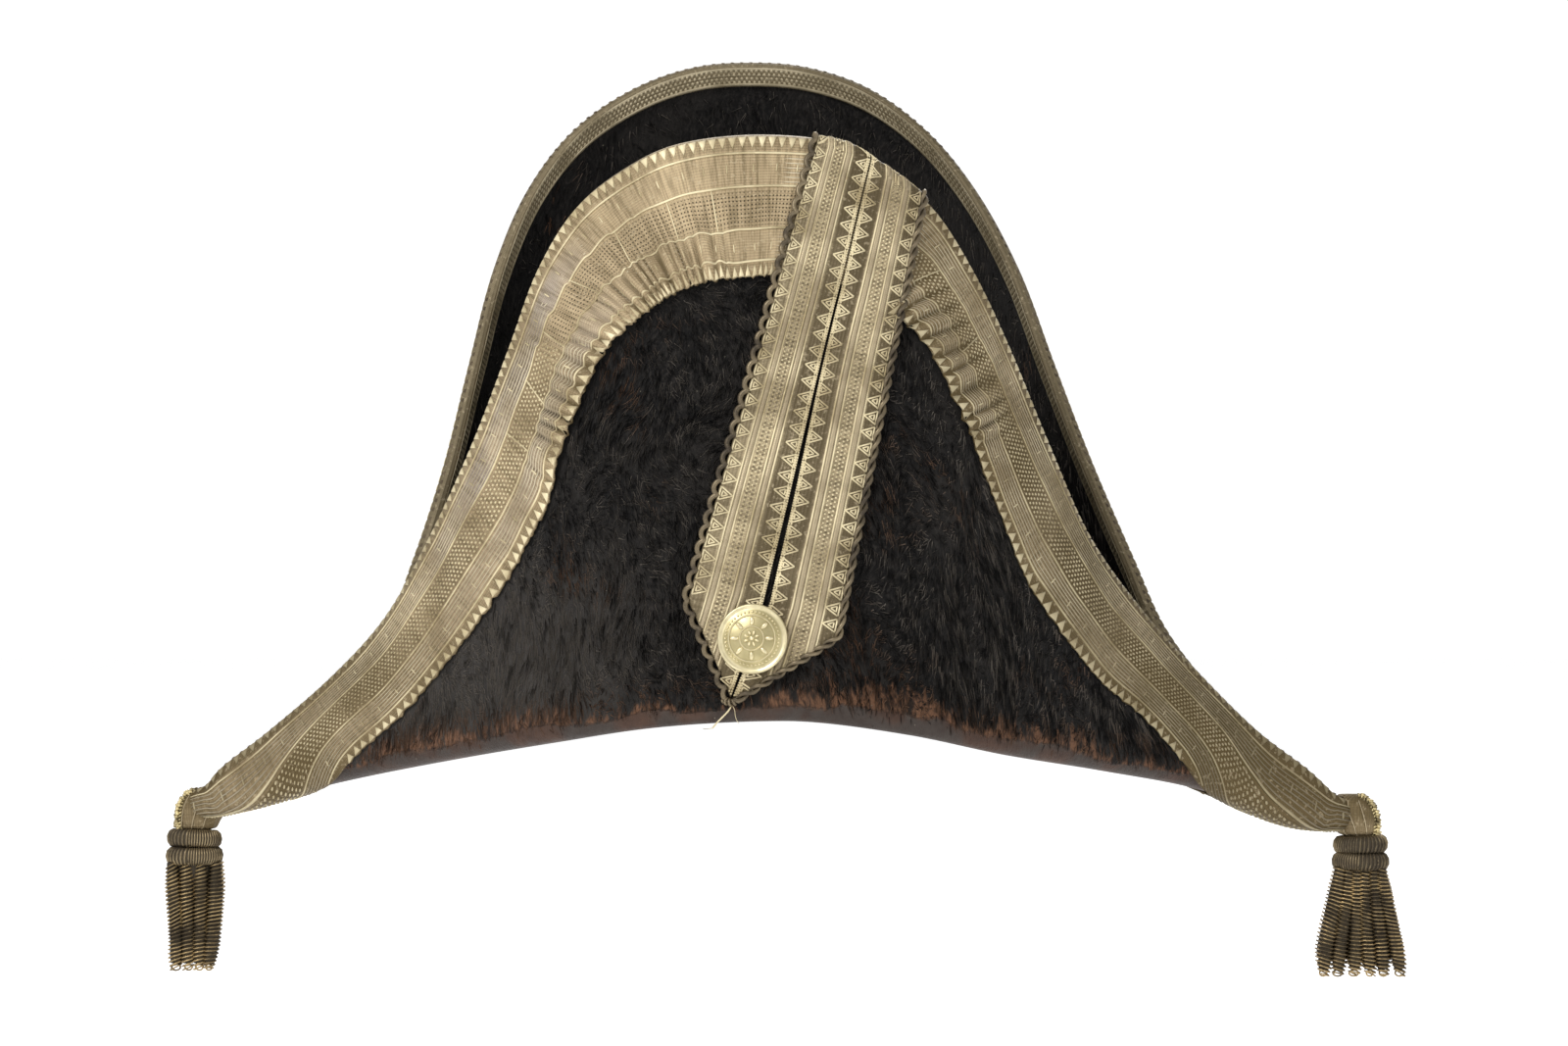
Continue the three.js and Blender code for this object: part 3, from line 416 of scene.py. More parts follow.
def carried_sides(way: Array, spare: Array) -> Array:
    """Carry a sideways direction along a line without twisting it.

    Args:
        way: the line's direction at each point.
        spare: the direction to start with where the line starts upright.

    Returns:
        The sideways direction at each point.
    """
    side = np.zeros_like(way)
    first = np.cross(way[0], (0, 0, 1))
    last = first if np.linalg.norm(first) > UPRIGHT else spare
    for i, ahead in enumerate(way):
        last = last - ahead * (last @ ahead)
        last = last / np.linalg.norm(last)
        side[i] = last
    return side


def ring_faces(rings: int, sides: int, turn: int = 1) -> list[tuple[int, ...]]:
    """Join rings of points into a closed skin.

    Args:
        rings: how many rings there are.
        sides: how many points each has.
        turn: 1, or -1 to turn every face round.

    Returns:
        The faces.
    """
    faces = []
    for i in range(rings - 1):
        for k in range(sides):
            a, b = i * sides + k, i * sides + (k + 1) % sides
            faces.append((a, b, b + sides, a + sides)[::turn])
    end = (rings - 1) * sides
    faces.append(tuple(range(sides))[::-turn])
    faces.append(tuple(end + k for k in range(sides))[::turn])
    return faces


def tube(
    points: Array, radius: float | Array, sides: int = 6, flat: float = 1.0
) -> tuple[Array, list]:
    """Make a closed tube round a line of points.

    Args:
        points: the line.
        radius: one radius, or one per point.
        sides: how many sides the tube has.
        flat: how high it is as a share of its width.

    Returns:
        The tube's vertices and faces.
    """
    way = unit(np.gradient(points, axis=0))
    side = carried_sides(way, np.cross(way[0], (0, 1, 0)))
    return ring_tube(points, side, np.cross(side, way), radius, sides, flat)


def ring_tube(
    points: Array, side: Array, up: Array, radius: float | Array, sides: int, flat: float = 1.0
) -> tuple[Array, list]:
    """Join rings round a line of points into a closed tube.

    Args:
        points: the line.
        side: the sideways direction at each point.
        up: the upwards direction at each point.
        radius: one radius, or one per point.
        sides: how many sides the tube has.
        flat: how high it is as a share of its width.

    Returns:
        The tube's vertices and faces.
    """
    angles = np.arange(sides) * TAU / sides
    size = np.broadcast_to(np.asarray(radius, float), (len(points),))[:, None, None]
    rings = side[:, None] * np.cos(angles)[:, None] + up[:, None] * np.sin(angles)[:, None] * flat
    rings = points[:, None] + rings * size
    turn = 1 if np.sum(np.cross(side, up) * np.gradient(points, axis=0)) > 0 else -1
    return rings.reshape(-1, 3), ring_faces(len(points), sides, turn)


def coil(
    line: Array,
    radius: float | Array,
    pitch: float,
    wire: float,
    steps: int = 12,
    sides: int = 5,
    phase: float = 0.0,
    flat: float = 1.0,
) -> tuple[Array, list]:
    """Wind a wire round a line of points.

    Args:
        line: the line that it is wound round.
        radius: from the line to the wire's middle, one value or one per point.
        pitch: the distance along the line of one turn.
        wire: the wire's radius.
        steps: points in one turn.
        sides: sides of the wire.
        phase: the angle that the wire starts at.
        flat: depth of the winding as a share of its width.

    Returns:
        The wire's vertices and faces.
    """
    distances = steps_along(line)
    turns = distances[-1] / pitch
    count = max(int(turns * steps), 4)
    at = np.linspace(0, distances[-1], count)
    centre = read_line(line, distances, at)
    way = unit(np.gradient(centre, axis=0))
    side = carried_sides(way, np.cross((0, 1, 0), way[0]))
    deep = np.cross(way, side)
    angle = (phase + at / pitch * TAU)[:, None]
    size = np.interp(at, distances, np.broadcast_to(np.asarray(radius, float), distances.shape))
    offset = side * np.cos(angle) + deep * np.sin(angle) * flat
    return wire_tube(centre + offset * size[:, None], offset, wire, sides)


def wire_tube(line: Array, outwards: Array, radius: float, sides: int) -> tuple[Array, list]:
    """Make a wound wire's tube, given the way out from what it is wound on."""
    ahead = unit(np.gradient(line, axis=0))
    across = unit(np.cross(ahead, unit(outwards)))
    return ring_tube(line, across, unit(np.cross(ahead, across)), radius, sides)


# The hat's form


@dataclass(frozen=True)
class FlapEdge:
    """The free edge of one flap, in shares of its height and of the horns' reach."""

    height: float
    top_across: float
    up: tuple[float, ...]
    left: tuple[float, ...]
    right: tuple[float, ...]


FRONT_EDGE = FlapEdge(
    height=213.8,
    top_across=-0.04,
    up=(0.983, 0.949, 0.884, 0.784, 0.647, 0.477, 0.307, 0.167, 0.062, -0.042, -0.112),
    left=(0.18, 0.253, 0.336, 0.398, 0.448, 0.512, 0.589, 0.665, 0.756, 0.871, 0.957),
    right=(0.105, 0.163, 0.246, 0.313, 0.38, 0.451, 0.529, 0.633, 0.73, 0.837, 0.93),
)
BACK_EDGE = FlapEdge(
    height=251.5,
    top_across=-0.058,
    up=(0.993, 0.962, 0.898, 0.805, 0.683, 0.53, 0.38, 0.23, 0.128, 0.045, -0.043, -0.101),
    left=(0.152, 0.252, 0.357, 0.436, 0.493, 0.536, 0.576, 0.628, 0.674, 0.765, 0.871, 0.957),
    right=(0.04, 0.149, 0.253, 0.341, 0.417, 0.482, 0.547, 0.62, 0.672, 0.742, 0.837, 0.93),
)


@dataclass
class HatForm:
    """The middle surface of the felt, from which every soft piece takes its place."""

    reach: dict[Hand, float] = field(default_factory=lambda: {Hand.LEFT: 224.0, Hand.RIGHT: 214.0})
    tip_level: dict[Hand, float] = field(
        default_factory=lambda: {Hand.LEFT: -32.0, Hand.RIGHT: -35.5}
    )
    tip_lift: float = 3.0
    tip_radius: float = 6.0
    fold_depth: float = 106.0
    horn_drop: float = 44.0
    edge_depth: float = 62.0
    fold_radius: float = 12.0
    flap_bulge: float = 8.0
    head_half_length: float = 97.0
    head_half_width: float = 80.0
    rim_radius: float = 3.5
    crown_height: float = 118.0
    felt: float = 2.5
    fineness: int = 8
    side_steps: int = 14
    head_steps: int = 7
    edge_spacing: float = 1.15
    tip_steps: int = 7
    flap_rows: int = 34
    bend_rows: int = 12
    brim_rows: int = 5
    table_step: float = 0.5
    table_size: int = 520

    PLAN_ALONG = (0, 0.22, 0.4, 0.55, 0.67, 0.8, 0.9, 1)
    PLAN_DEEP = (1, 0.94, 0.73, 0.44, 0.24, 0.137, 0.1, 0.081)
    FOLD_ALONG = (0, 0.2, 0.38, 0.56, 0.74, 0.9, 1)
    FOLD_DEEP = (1, 0.925, 0.736, 0.462, 0.245, 0.123, 0.066)
    FOLD_DROP = {
        Hand.LEFT: (-0.03, 0.025, 0.18, 0.36, 0.56, 0.77, 0.89),
        Hand.RIGHT: (-0.03, 0.08, 0.28, 0.45, 0.64, 0.93, 0.99),
    }
    FOLD_ROUND = (0.34, 0.38, 0.6, 0.85, 1, 0.62, 0.42)
    FOLD_BULGE = (1, 0.95, 0.8, 0.6, 0.45, 0.25, 0.06)
    CROWN_SIZE = (1, 0.985, 0.96, 0.9, 0.79, 0.42, 0)
    CROWN_UP = (0.03, 0.4, 0.84, 0.95, 0.99, 1.01, 1.02)
    LOCATE_ROUNDS = 12

    def __post_init__(self) -> None:
        """Work out the stations round the hat and the tables read from them."""
        self._gather_stations()
        self._draw_paths()
        self._fill_tables()

    def fold_level(self, x: Array) -> Array:
        """Give the level of the fold at places across."""
        x = np.asarray(x, float)
        level = np.zeros_like(x)
        for hand in Hand:
            along = np.abs(x) / self.reach[hand]
            drop = smooth_column(self.FOLD_ALONG, self.FOLD_DROP[hand], along)
            level = np.where(
                np.sign(x + hand.value * 1e-9) == hand.value, -self.horn_drop * drop, level
            )
        return level

    def _edge_line(self, face: Face) -> tuple[Array, Array, float]:
        """Draw a flap's edge from horn to horn.

        Args:
            face: the flap.

        Returns:
            The edge's points, the distance along it at each, and at the flap's top.
        """
        shape = FRONT_EDGE if face is Face.FRONT else BACK_EDGE

        def spot(hand: Hand, across: float, up: float) -> tuple[float, float, float]:
            """Place one point of the edge."""
            deep = self.edge_depth * smooth_column(
                self.PLAN_ALONG, self.PLAN_DEEP, np.array([across])
            )[0]
            return hand.value * across * self.reach[hand], face.value * deep, up * shape.height

        def end(hand: Hand) -> tuple[float, float, float]:
            """Place the edge's end at a horn."""
            level = self.tip_level[hand] + self.tip_lift
            return spot(hand, 1 - self.tip_radius / self.reach[hand], level / shape.height)

        left = [spot(Hand.LEFT, across, up) for across, up in zip(shape.left, shape.up)]
        right = [spot(Hand.RIGHT, across, up) for across, up in zip(shape.right, shape.up)]
        top = spot(Hand.LEFT, -shape.top_across, 1.0)
        points = np.array([end(Hand.LEFT), *left[::-1], top, *right, end(Hand.RIGHT)])
        line, marks = smooth_line(points)
        distances = steps_along(line)
        return line, distances, distances[marks[len(left) + 1]]

    def _half(self, face: Face, hand: Hand, steps: Array) -> dict[str, Array]:
        """Work out the stations of one half of a flap.

        Args:
            face: the flap.
            hand: the side.
            steps: the stations' step numbers, 0 in the middle.

        Returns:
            The edge, fold and inner points and the shares at each station.
        """
        reach = self.reach[hand]
        line, distances, top = self._edge_line(face)
        share = (steps / self.side_steps) ** self.edge_spacing
        end = 0.0 if hand is Hand.LEFT else distances[-1]
        edge = read_line(line, distances, top + (end - top) * share)
        along = np.linspace(0, 1 - self.tip_radius / reach, 300)
        deep = self.fold_depth * smooth_column(self.FOLD_ALONG, self.FOLD_DEEP, along)
        x = hand.value * along * reach
        fold_line = stacked(x, face.value * deep, self.fold_level(x))
        fold_distances = steps_along(fold_line)
        start = self.head_half_width + self.rim_radius
        beside = np.interp(start, np.abs(x), fold_distances) / fold_distances[-1]
        past = (steps - self.head_steps) / (self.side_steps - self.head_steps)
        fold_share = np.where(
            steps <= self.head_steps, beside * steps / self.head_steps, beside + (1 - beside) * past
        )
        fold = read_line(fold_line, fold_distances, fold_share * fold_distances[-1])
        turn = np.minimum(steps / self.head_steps, 1) * math.pi / 2
        corner = stacked(
            hand.value * self.head_half_width * np.sin(turn),
            face.value * self.head_half_length * np.cos(turn),
            np.zeros_like(turn),
        )
        away = unit(corner / (self.head_half_width**2, self.head_half_length**2, 1))
        inner = corner + away * self.rim_radius
        horn = hand.value * (start + (reach - self.tip_radius - start) * np.clip(past, 0, 1))
        beyond = past > 0
        inner[beyond, 0] = horn[beyond]
        inner[beyond, 1] = 0
        inner[:, 2] = self.fold_level(inner[:, 0])
        corner[:, 2] = self.fold_level(corner[:, 0])
        return {
            "edge": edge,
            "fold": fold,
            "inner": inner,
            "corner": corner,
            "along": np.abs(fold[:, 0]) / reach,
            "share": hand.value * share,
            "head": (steps <= self.head_steps).astype(float),
        }

    def _tip(self, hand: Hand, degrees: Array, beside: dict[str, Array]) -> dict[str, Array]:
        """Work out the stations round a horn's end.

        Args:
            hand: the side.
            degrees: angles round the end, from -90 in front to 90 behind.
            beside: the stations of a half of the same side.

        Returns:
            The same values as for a half.
        """
        angle = np.radians(degrees)
        centre = hand.value * (self.reach[hand] - self.tip_radius)
        way = stacked(hand.value * np.cos(angle), np.sin(angle), np.zeros_like(angle))
        last = int(np.argmax(np.abs(beside["share"])))
        side = np.sin(angle) ** 2
        edge_end = self.edge_depth * self.PLAN_DEEP[-1] + np.cos(angle)
        fold_end = self.fold_depth * self.FOLD_DEEP[-1]
        edge_size = edge_end + (abs(beside["edge"][last, 1]) - edge_end) * side
        fold_size = fold_end + (abs(beside["fold"][last, 1]) - fold_end) * side
        level = self.fold_level(np.full_like(angle, centre))
        zero = np.zeros_like(angle)
        middle = stacked(zero + centre, zero, level)
        edge = way * edge_size[:, None] + stacked(
            zero + centre, zero, self.tip_level[hand] + self.tip_lift * (1 - np.cos(angle))
        )
        fold = way * fold_size[:, None] + middle
        return {
            "edge": edge,
            "fold": fold,
            "inner": middle,
            "corner": middle,
            "along": zero + 1,
            "share": zero + hand.value,
            "head": zero,
        }

    def _gather_stations(self) -> None:
        """Line up the stations: left horn's end, front, right horn's end, back."""
        outward = np.arange(0, self.side_steps + 1e-6, 1 / self.fineness)
        inward = outward[:0:-1]
        steps = np.arange(1, self.tip_steps + 1) / (self.tip_steps + 1) * 90
        front_left = self._half(Face.FRONT, Hand.LEFT, inward)
        front_right = self._half(Face.FRONT, Hand.RIGHT, outward)
        back_right = self._half(Face.BACK, Hand.RIGHT, inward)
        back_left = self._half(Face.BACK, Hand.LEFT, outward)
        zero = np.zeros(1)
        parts = [
            self._tip(Hand.LEFT, np.concatenate([zero, -steps]), front_left),
            front_left,
            front_right,
            self._tip(Hand.RIGHT, np.concatenate([-steps[::-1], zero, steps]), front_right),
            back_right,
            back_left,
            self._tip(Hand.LEFT, steps[::-1], front_left),
        ]
        for name in parts[0]:
            setattr(self, name, np.concatenate([part[name] for part in parts]))
        self.count = len(self.share)
        self.right_end = 1 + self.tip_steps + len(inward) + len(outward) + self.tip_steps

    def _draw_paths(self) -> None:
        """Draw each station's line through the felt, from the edge to the brim's inside."""
        ahead = np.roll(self.fold, -1, 0) - np.roll(self.fold, 1, 0)
        outwards = unit(stacked(ahead[:, 1], -ahead[:, 0], np.zeros(self.count)))
        rise = self.edge - self.fold
        tall = np.linalg.norm(rise, axis=1)
        leg = self.fold - self.inner
        wide = self.fold_radius * smooth_column(self.FOLD_ALONG, self.FOLD_ROUND, self.along)
        radius = np.minimum(wide, np.linalg.norm(leg, axis=1) * 0.75)
        bulge = self.flap_bulge * smooth_column(self.FOLD_ALONG, self.FOLD_BULGE, self.along)
        start = np.minimum(radius / tall, 0.5)
        before = self.fold - unit(leg) * radius[:, None]

        def flap(t: Array) -> Array:
            """Place the flap's points at shares of its height."""
            swell = (4 * bulge * t * (1 - t))[:, None]
            return self.fold + rise * t[:, None] + outwards * swell

        rows = [flap(1 - (1 - start) * k / self.flap_rows) for k in range(self.flap_rows + 1)]
        foot = rows[-1]
        for k in range(1, self.bend_rows + 1):
            t = k / self.bend_rows
            rows.append((1 - t) ** 2 * foot + 2 * t * (1 - t) * self.fold + t * t * before)
        for k in range(1, self.brim_rows + 1):
            rows.append(before + (self.inner - before) * (k / self.brim_rows))
        self.grid = np.stack(rows, 1)
        self.grid += self._unevenness()
        along = np.roll(self.grid, -1, 0) - np.roll(self.grid, 1, 0)
        inwards = np.gradient(self.grid, axis=1)
        self.normals = unit(np.cross(inwards, along))
        self.normals[:, -1] = self.normals[:, -2]

    def _unevenness(self) -> Array:
        """Give the soft dents of worn felt, none at the folds, edges and horns' ends."""
        places = self.grid.reshape(-1, 3)
        height = ripple(places, 62, 5).reshape(self.count, -1) * 0.9
        rows = np.arange(self.grid.shape[1]) / self.flap_rows
        keep = within(rows, 0.0, 0.25, 0.75, 1.0)
        ends = ramp(-np.abs(self.share), -0.95, -0.6)
        shift = height * keep[None] * ends[:, None]
        face = np.sign(self.fold[:, 1])[:, None] * np.ones_like(shift)
        return stacked(np.zeros_like(shift), shift * face, np.zeros_like(shift))

    def _fill_tables(self) -> None:
        at = np.arange(self.table_size) * self.table_step
        self.spots = np.zeros((self.count, self.table_size, 3))
        self.ways = np.zeros((self.count, self.table_size, 3))
        self.lengths = np.zeros(self.count)
        for i in range(self.count):
            distances = steps_along(self.grid[i])
            self.lengths[i] = distances[-1]
            self.spots[i] = read_line(self.grid[i], distances, at)
            self.ways[i] = read_line(self.normals[i], distances, at)
        self.edge_out = unit(self.spots[:, 0] - self.spots[:, 4])

    def mixed(self, table: Array, station: Array, row: Array) -> Array:
        """Read a table between its stations and rows."""
        i = np.clip(np.floor(station).astype(int), 0, self.count - 1)
        k = np.clip(np.floor(row).astype(int), 0, self.table_size - 2)
        s = np.clip(station - i, 0, 1)[:, None]
        t = np.clip(row - k, 0, 1)[:, None]
        j = (i + 1) % self.count
        near = table[i, k] * (1 - t) + table[i, k + 1] * t
        far = table[j, k] * (1 - t) + table[j, k + 1] * t
        return near * (1 - s) + far * s

    def place(self, station: Array, inwards: Array, lift: Array) -> Array:
        """Place points on or off the felt.

        Args:
            station: where round the hat, as a station number with a part.
            inwards: distance from the flap's edge, below zero for down the inner face.
            lift: height above the felt's face.

        Returns:
            The points in millimetres.
        """
        half = self.felt / 2 + lift
        wrap = 2.0 * np.maximum(half, 0.3)
        down = np.maximum(-inwards - wrap, 0)
        depth = np.where(inwards >= 0, inwards, down)
        spot = self.mixed(self.spots, station, depth / self.table_step)
        normal = unit(self.mixed(self.ways, station, depth / self.table_step))
        out = unit(self.mixed(self.edge_out[:, None].repeat(2, 1), station, np.zeros_like(station)))
        share = np.clip(-inwards / wrap, 0, 1)
        angle = (0.5 - share) * math.pi
        over = np.where(inwards < 0, half * 0.8, 0) * np.cos(angle)
        side = np.where(inwards < 0, np.sin(angle), 1.0) * half
        return spot + normal * side[:, None] + out * over[:, None]

    def locate(self, x: Array, z: Array) -> tuple[Array, Array]:
        """Find the front flap's place behind points of the front view.

        Args:
            x: places across.
            z: levels.

        Returns:
            The station and the distance from the edge at each.
        """
        first = 1 + self.tip_steps
        stations = np.arange(first, self.right_end - self.tip_steps)
        station = np.interp(x, self.edge[stations, 0], stations)
        inwards = np.maximum(self.mixed(self.spots, station, np.zeros_like(x))[:, 2] - z, 0)
        for _ in range(self.LOCATE_ROUNDS):
            here = self.mixed(self.spots, station, inwards / self.table_step)
            ahead = self.mixed(self.spots, station + 0.5, inwards / self.table_step) - here
            below = self.mixed(self.spots, station, inwards / self.table_step + 1) - here
            a, b = ahead[:, 0] * 2, below[:, 0] / self.table_step
            c, d = ahead[:, 2] * 2, below[:, 2] / self.table_step
            off_x, off_z = x - here[:, 0], z - here[:, 2]
            size = a * d - b * c
            size = np.where(np.abs(size) < 1e-3, 1e-3, size)
            move = np.clip((off_x * d - off_z * b) / size, -3, 3)
            station = np.clip(station + move, first, self.right_end - 1)
            inwards = np.clip(inwards + np.clip((off_z * a - off_x * c) / size, -25, 25), 0, 240)
        return station, inwards


# Materials


class Socket(Enum):
    """Kinds of value that a shader group takes or gives."""

    NUMBER = "NodeSocketFloat"
    VECTOR = "NodeSocketVector"


@dataclass
class Nodes:
    """Places nodes in a shader tree and links them."""

    tree: bpy.types.NodeTree

    def put(self, kind: str, values: dict | None = None, **options: object) -> bpy.types.Node:
        """Add a node.

        Args:
            kind: the node's type name after ShaderNode.
            values: for each input name or number a value, or an output to link to it.
            options: the node's own settings.

        Returns:
            The node.
        """
        node = self.tree.nodes.new("ShaderNode" + kind)
        for name, value in options.items():
            setattr(node, name, value)
        for name, value in (values or {}).items():
            self.feed(node.inputs[name], value)
        return node

    def feed(self, socket: bpy.types.NodeSocket, value: object) -> None:
        """Set an input's value, or link an output to it."""
        if isinstance(value, bpy.types.NodeSocket):
            self.tree.links.new(value, socket)
        else:
            socket.default_value = value

    def sum(self, operation: str, *values: object) -> bpy.types.NodeSocket:
        """Add a Math node and give its result."""
        return self.put("Math", dict(enumerate(values)), operation=operation).outputs[0]

    def spread(
        self, value: object, low: float, high: float, start: float = 0, end: float = 1
    ) -> object:
        """Map low to start and high to end, and hold what lies beyond."""
        values = {0: value, 1: low, 2: high, 3: start, 4: end}
        return self.put("MapRange", values, interpolation_type="SMOOTHSTEP").outputs[0]

    def blend(self, share: object, first: object, second: object, way: str = "MIX") -> object:
        """Mix two colours."""
        node = self.put("Mix", {0: share}, data_type="RGBA", blend_type=way)
        self.feed(node.inputs[6], first)
        self.feed(node.inputs[7], second)
        return node.outputs[2]

    def vector(self, operation: str, first: object, second: object) -> bpy.types.NodeSocket:
        """Add a Vector Math node and give its result."""
        return self.put("VectorMath", {0: first, 1: second}, operation=operation).outputs[0]

    def place(self) -> bpy.types.NodeSocket:
        """Give the place on the object."""
        return self.put("TexCoord").outputs["Object"]

    def read(self, name: str) -> bpy.types.NodeSocket:
        """Read one of the mesh's own numbers."""
        return self.put("Attribute", attribute_name=name).outputs["Fac"]

    def group(self, tree: bpy.types.NodeTree, **values: object) -> bpy.types.Node:
        """Add a shader group with its inputs' values."""
        return self.put("Group", values, node_tree=tree)

    def noise(self, vector: object, scale: object, detail: float = 2, rough: float = 0.5) -> object:
        """Add a noise texture and give its value."""
        values = {"Vector": vector, "Scale": scale, "Detail": detail, "Roughness": rough}
        return self.put("TexNoise", values).outputs["Fac"]


def new_group(
    name: str, takes: dict[str, Socket], gives: dict[str, Socket]
) -> tuple[Nodes, object, object]:
    """Start a shader group with named inputs and outputs.

    Args:
        name: the group's name.
        takes: its inputs.
        gives: its outputs.

    Returns:
        The group's nodes, its input node and its output node.
    """
    tree = bpy.data.node_groups.new(name, "ShaderNodeTree")
    for label, kind in takes.items():
        tree.interface.new_socket(name=label, in_out="INPUT", socket_type=kind.value)
    for label, kind in gives.items():
        tree.interface.new_socket(name=label, in_out="OUTPUT", socket_type=kind.value)
    nodes = Nodes(tree)
    return nodes, tree.nodes.new("NodeGroupInput"), tree.nodes.new("NodeGroupOutput")


def tarnish_glint_group() -> bpy.types.NodeTree:
    """Build the patchy darkening of old metal thread, and bright specks of painted glint."""
    takes = {"Vector": Socket.VECTOR, "Patch": Socket.NUMBER, "Speck": Socket.NUMBER}
    nodes, source, result = new_group(
        "tarnish", takes, {"Dark": Socket.NUMBER, "Glint": Socket.NUMBER}
    )
    vector = source.outputs["Vector"]
    cloud = nodes.noise(vector, source.outputs["Patch"], 4)
    speck = nodes.noise(vector, source.outputs["Speck"], 2)
    nodes.feed(result.inputs["Dark"], nodes.spread(cloud, 0.34, 0.68))
    # Glint: bright specks of painted highlight.
    nodes.feed(result.inputs["Glint"], nodes.spread(speck, 0.56, 0.72))
    return nodes.tree


def weave_group() -> bpy.types.NodeTree:
    """Build the crossing threads of woven lace, on a map in millimetres."""
    takes = {"Vector": Socket.VECTOR, "Along": Socket.NUMBER, "Across": Socket.NUMBER}
    nodes, source, result = new_group(
        "woven threads", takes, {"Height": Socket.NUMBER, "Shade": Socket.NUMBER}
    )
    split = nodes.put("SeparateXYZ", {0: source.outputs["Vector"]})
    waves = []
    for axis, pitch in (("X", "Along"), ("Y", "Across")):
        turns = nodes.sum("DIVIDE", split.outputs[axis], source.outputs[pitch])
        wave = nodes.sum("SINE", nodes.sum("MULTIPLY", turns, TAU))
        waves.append(nodes.sum("MULTIPLY_ADD", wave, 0.5, 0.5))
    height = nodes.sum("MAXIMUM", nodes.sum("MULTIPLY", waves[0], 0.75), waves[1])
    nodes.feed(result.inputs["Height"], height)
    nodes.feed(result.inputs["Shade"], nodes.sum("MULTIPLY", waves[0], waves[1]))
    return nodes.tree


def nap_group() -> bpy.types.NodeTree:
    """Build the brushed, swirling hairs of napped felt."""
    takes = {"Vector": Socket.VECTOR, "Swirl": Socket.NUMBER, "Hair": Socket.NUMBER}
    gives = {"Height": Socket.NUMBER, "Shade": Socket.NUMBER, "Tuft": Socket.NUMBER}
    nodes, source, result = new_group("brushed nap", takes, gives)
    vector = source.outputs["Vector"]
    drift = nodes.put(
        "TexNoise", {"Vector": vector, "Scale": source.outputs["Swirl"], "Detail": 2.0}
    )
    push = nodes.vector("SUBTRACT", drift.outputs["Color"], (0.5, 0.5, 0.5))
    far = nodes.put("VectorMath", {0: push, "Scale": 0.03}, operation="SCALE")
    bent = nodes.vector("ADD", vector, far.outputs[0])
    long = nodes.vector("MULTIPLY", bent, (1.0, 1.0, 0.28))
    hair = nodes.noise(long, source.outputs["Hair"], 5, 0.65)
    tuft = nodes.noise(long, 260, 2)
    both = nodes.sum("MULTIPLY_ADD", tuft, 0.8, hair)
    nodes.feed(result.inputs["Height"], both)
    nodes.feed(result.inputs["Shade"], nodes.spread(hair, 0.42, 0.7))
    nodes.feed(result.inputs["Tuft"], nodes.spread(tuft, 0.38, 0.66))
    return nodes.tree


@dataclass
class Workshop:
    """The shader groups that the finishes share, each built once."""

    tarnish: bpy.types.NodeTree = field(default_factory=tarnish_glint_group)
    weave: bpy.types.NodeTree = field(default_factory=weave_group)
    nap: bpy.types.NodeTree = field(default_factory=nap_group)

    def start(
        self, name: str, rough: float, metal: float
    ) -> tuple[bpy.types.Material, Nodes, bpy.types.Node]:
        """Start a material.

        Args:
            name: the material's name.
            rough: its roughness.
            metal: how metallic it is.

        Returns:
            The material, its nodes and its shader.
        """
        material = bpy.data.materials.new(name)
        material.use_nodes = True
        nodes = Nodes(material.node_tree)
        shader = material.node_tree.nodes["Principled BSDF"]
        shader.inputs["Roughness"].default_value = rough
        shader.inputs["Metallic"].default_value = metal
        return material, nodes, shader

    @staticmethod
    def bump(
        nodes: Nodes, shader: bpy.types.Node, height: object, distance: float, strength: float
    ) -> None:
        """Feed a height through a bump to the shader."""
        values = {"Strength": strength, "Distance": distance * METRES, "Height": height}
        nodes.feed(shader.inputs["Normal"], nodes.put("Bump", values).outputs[0])


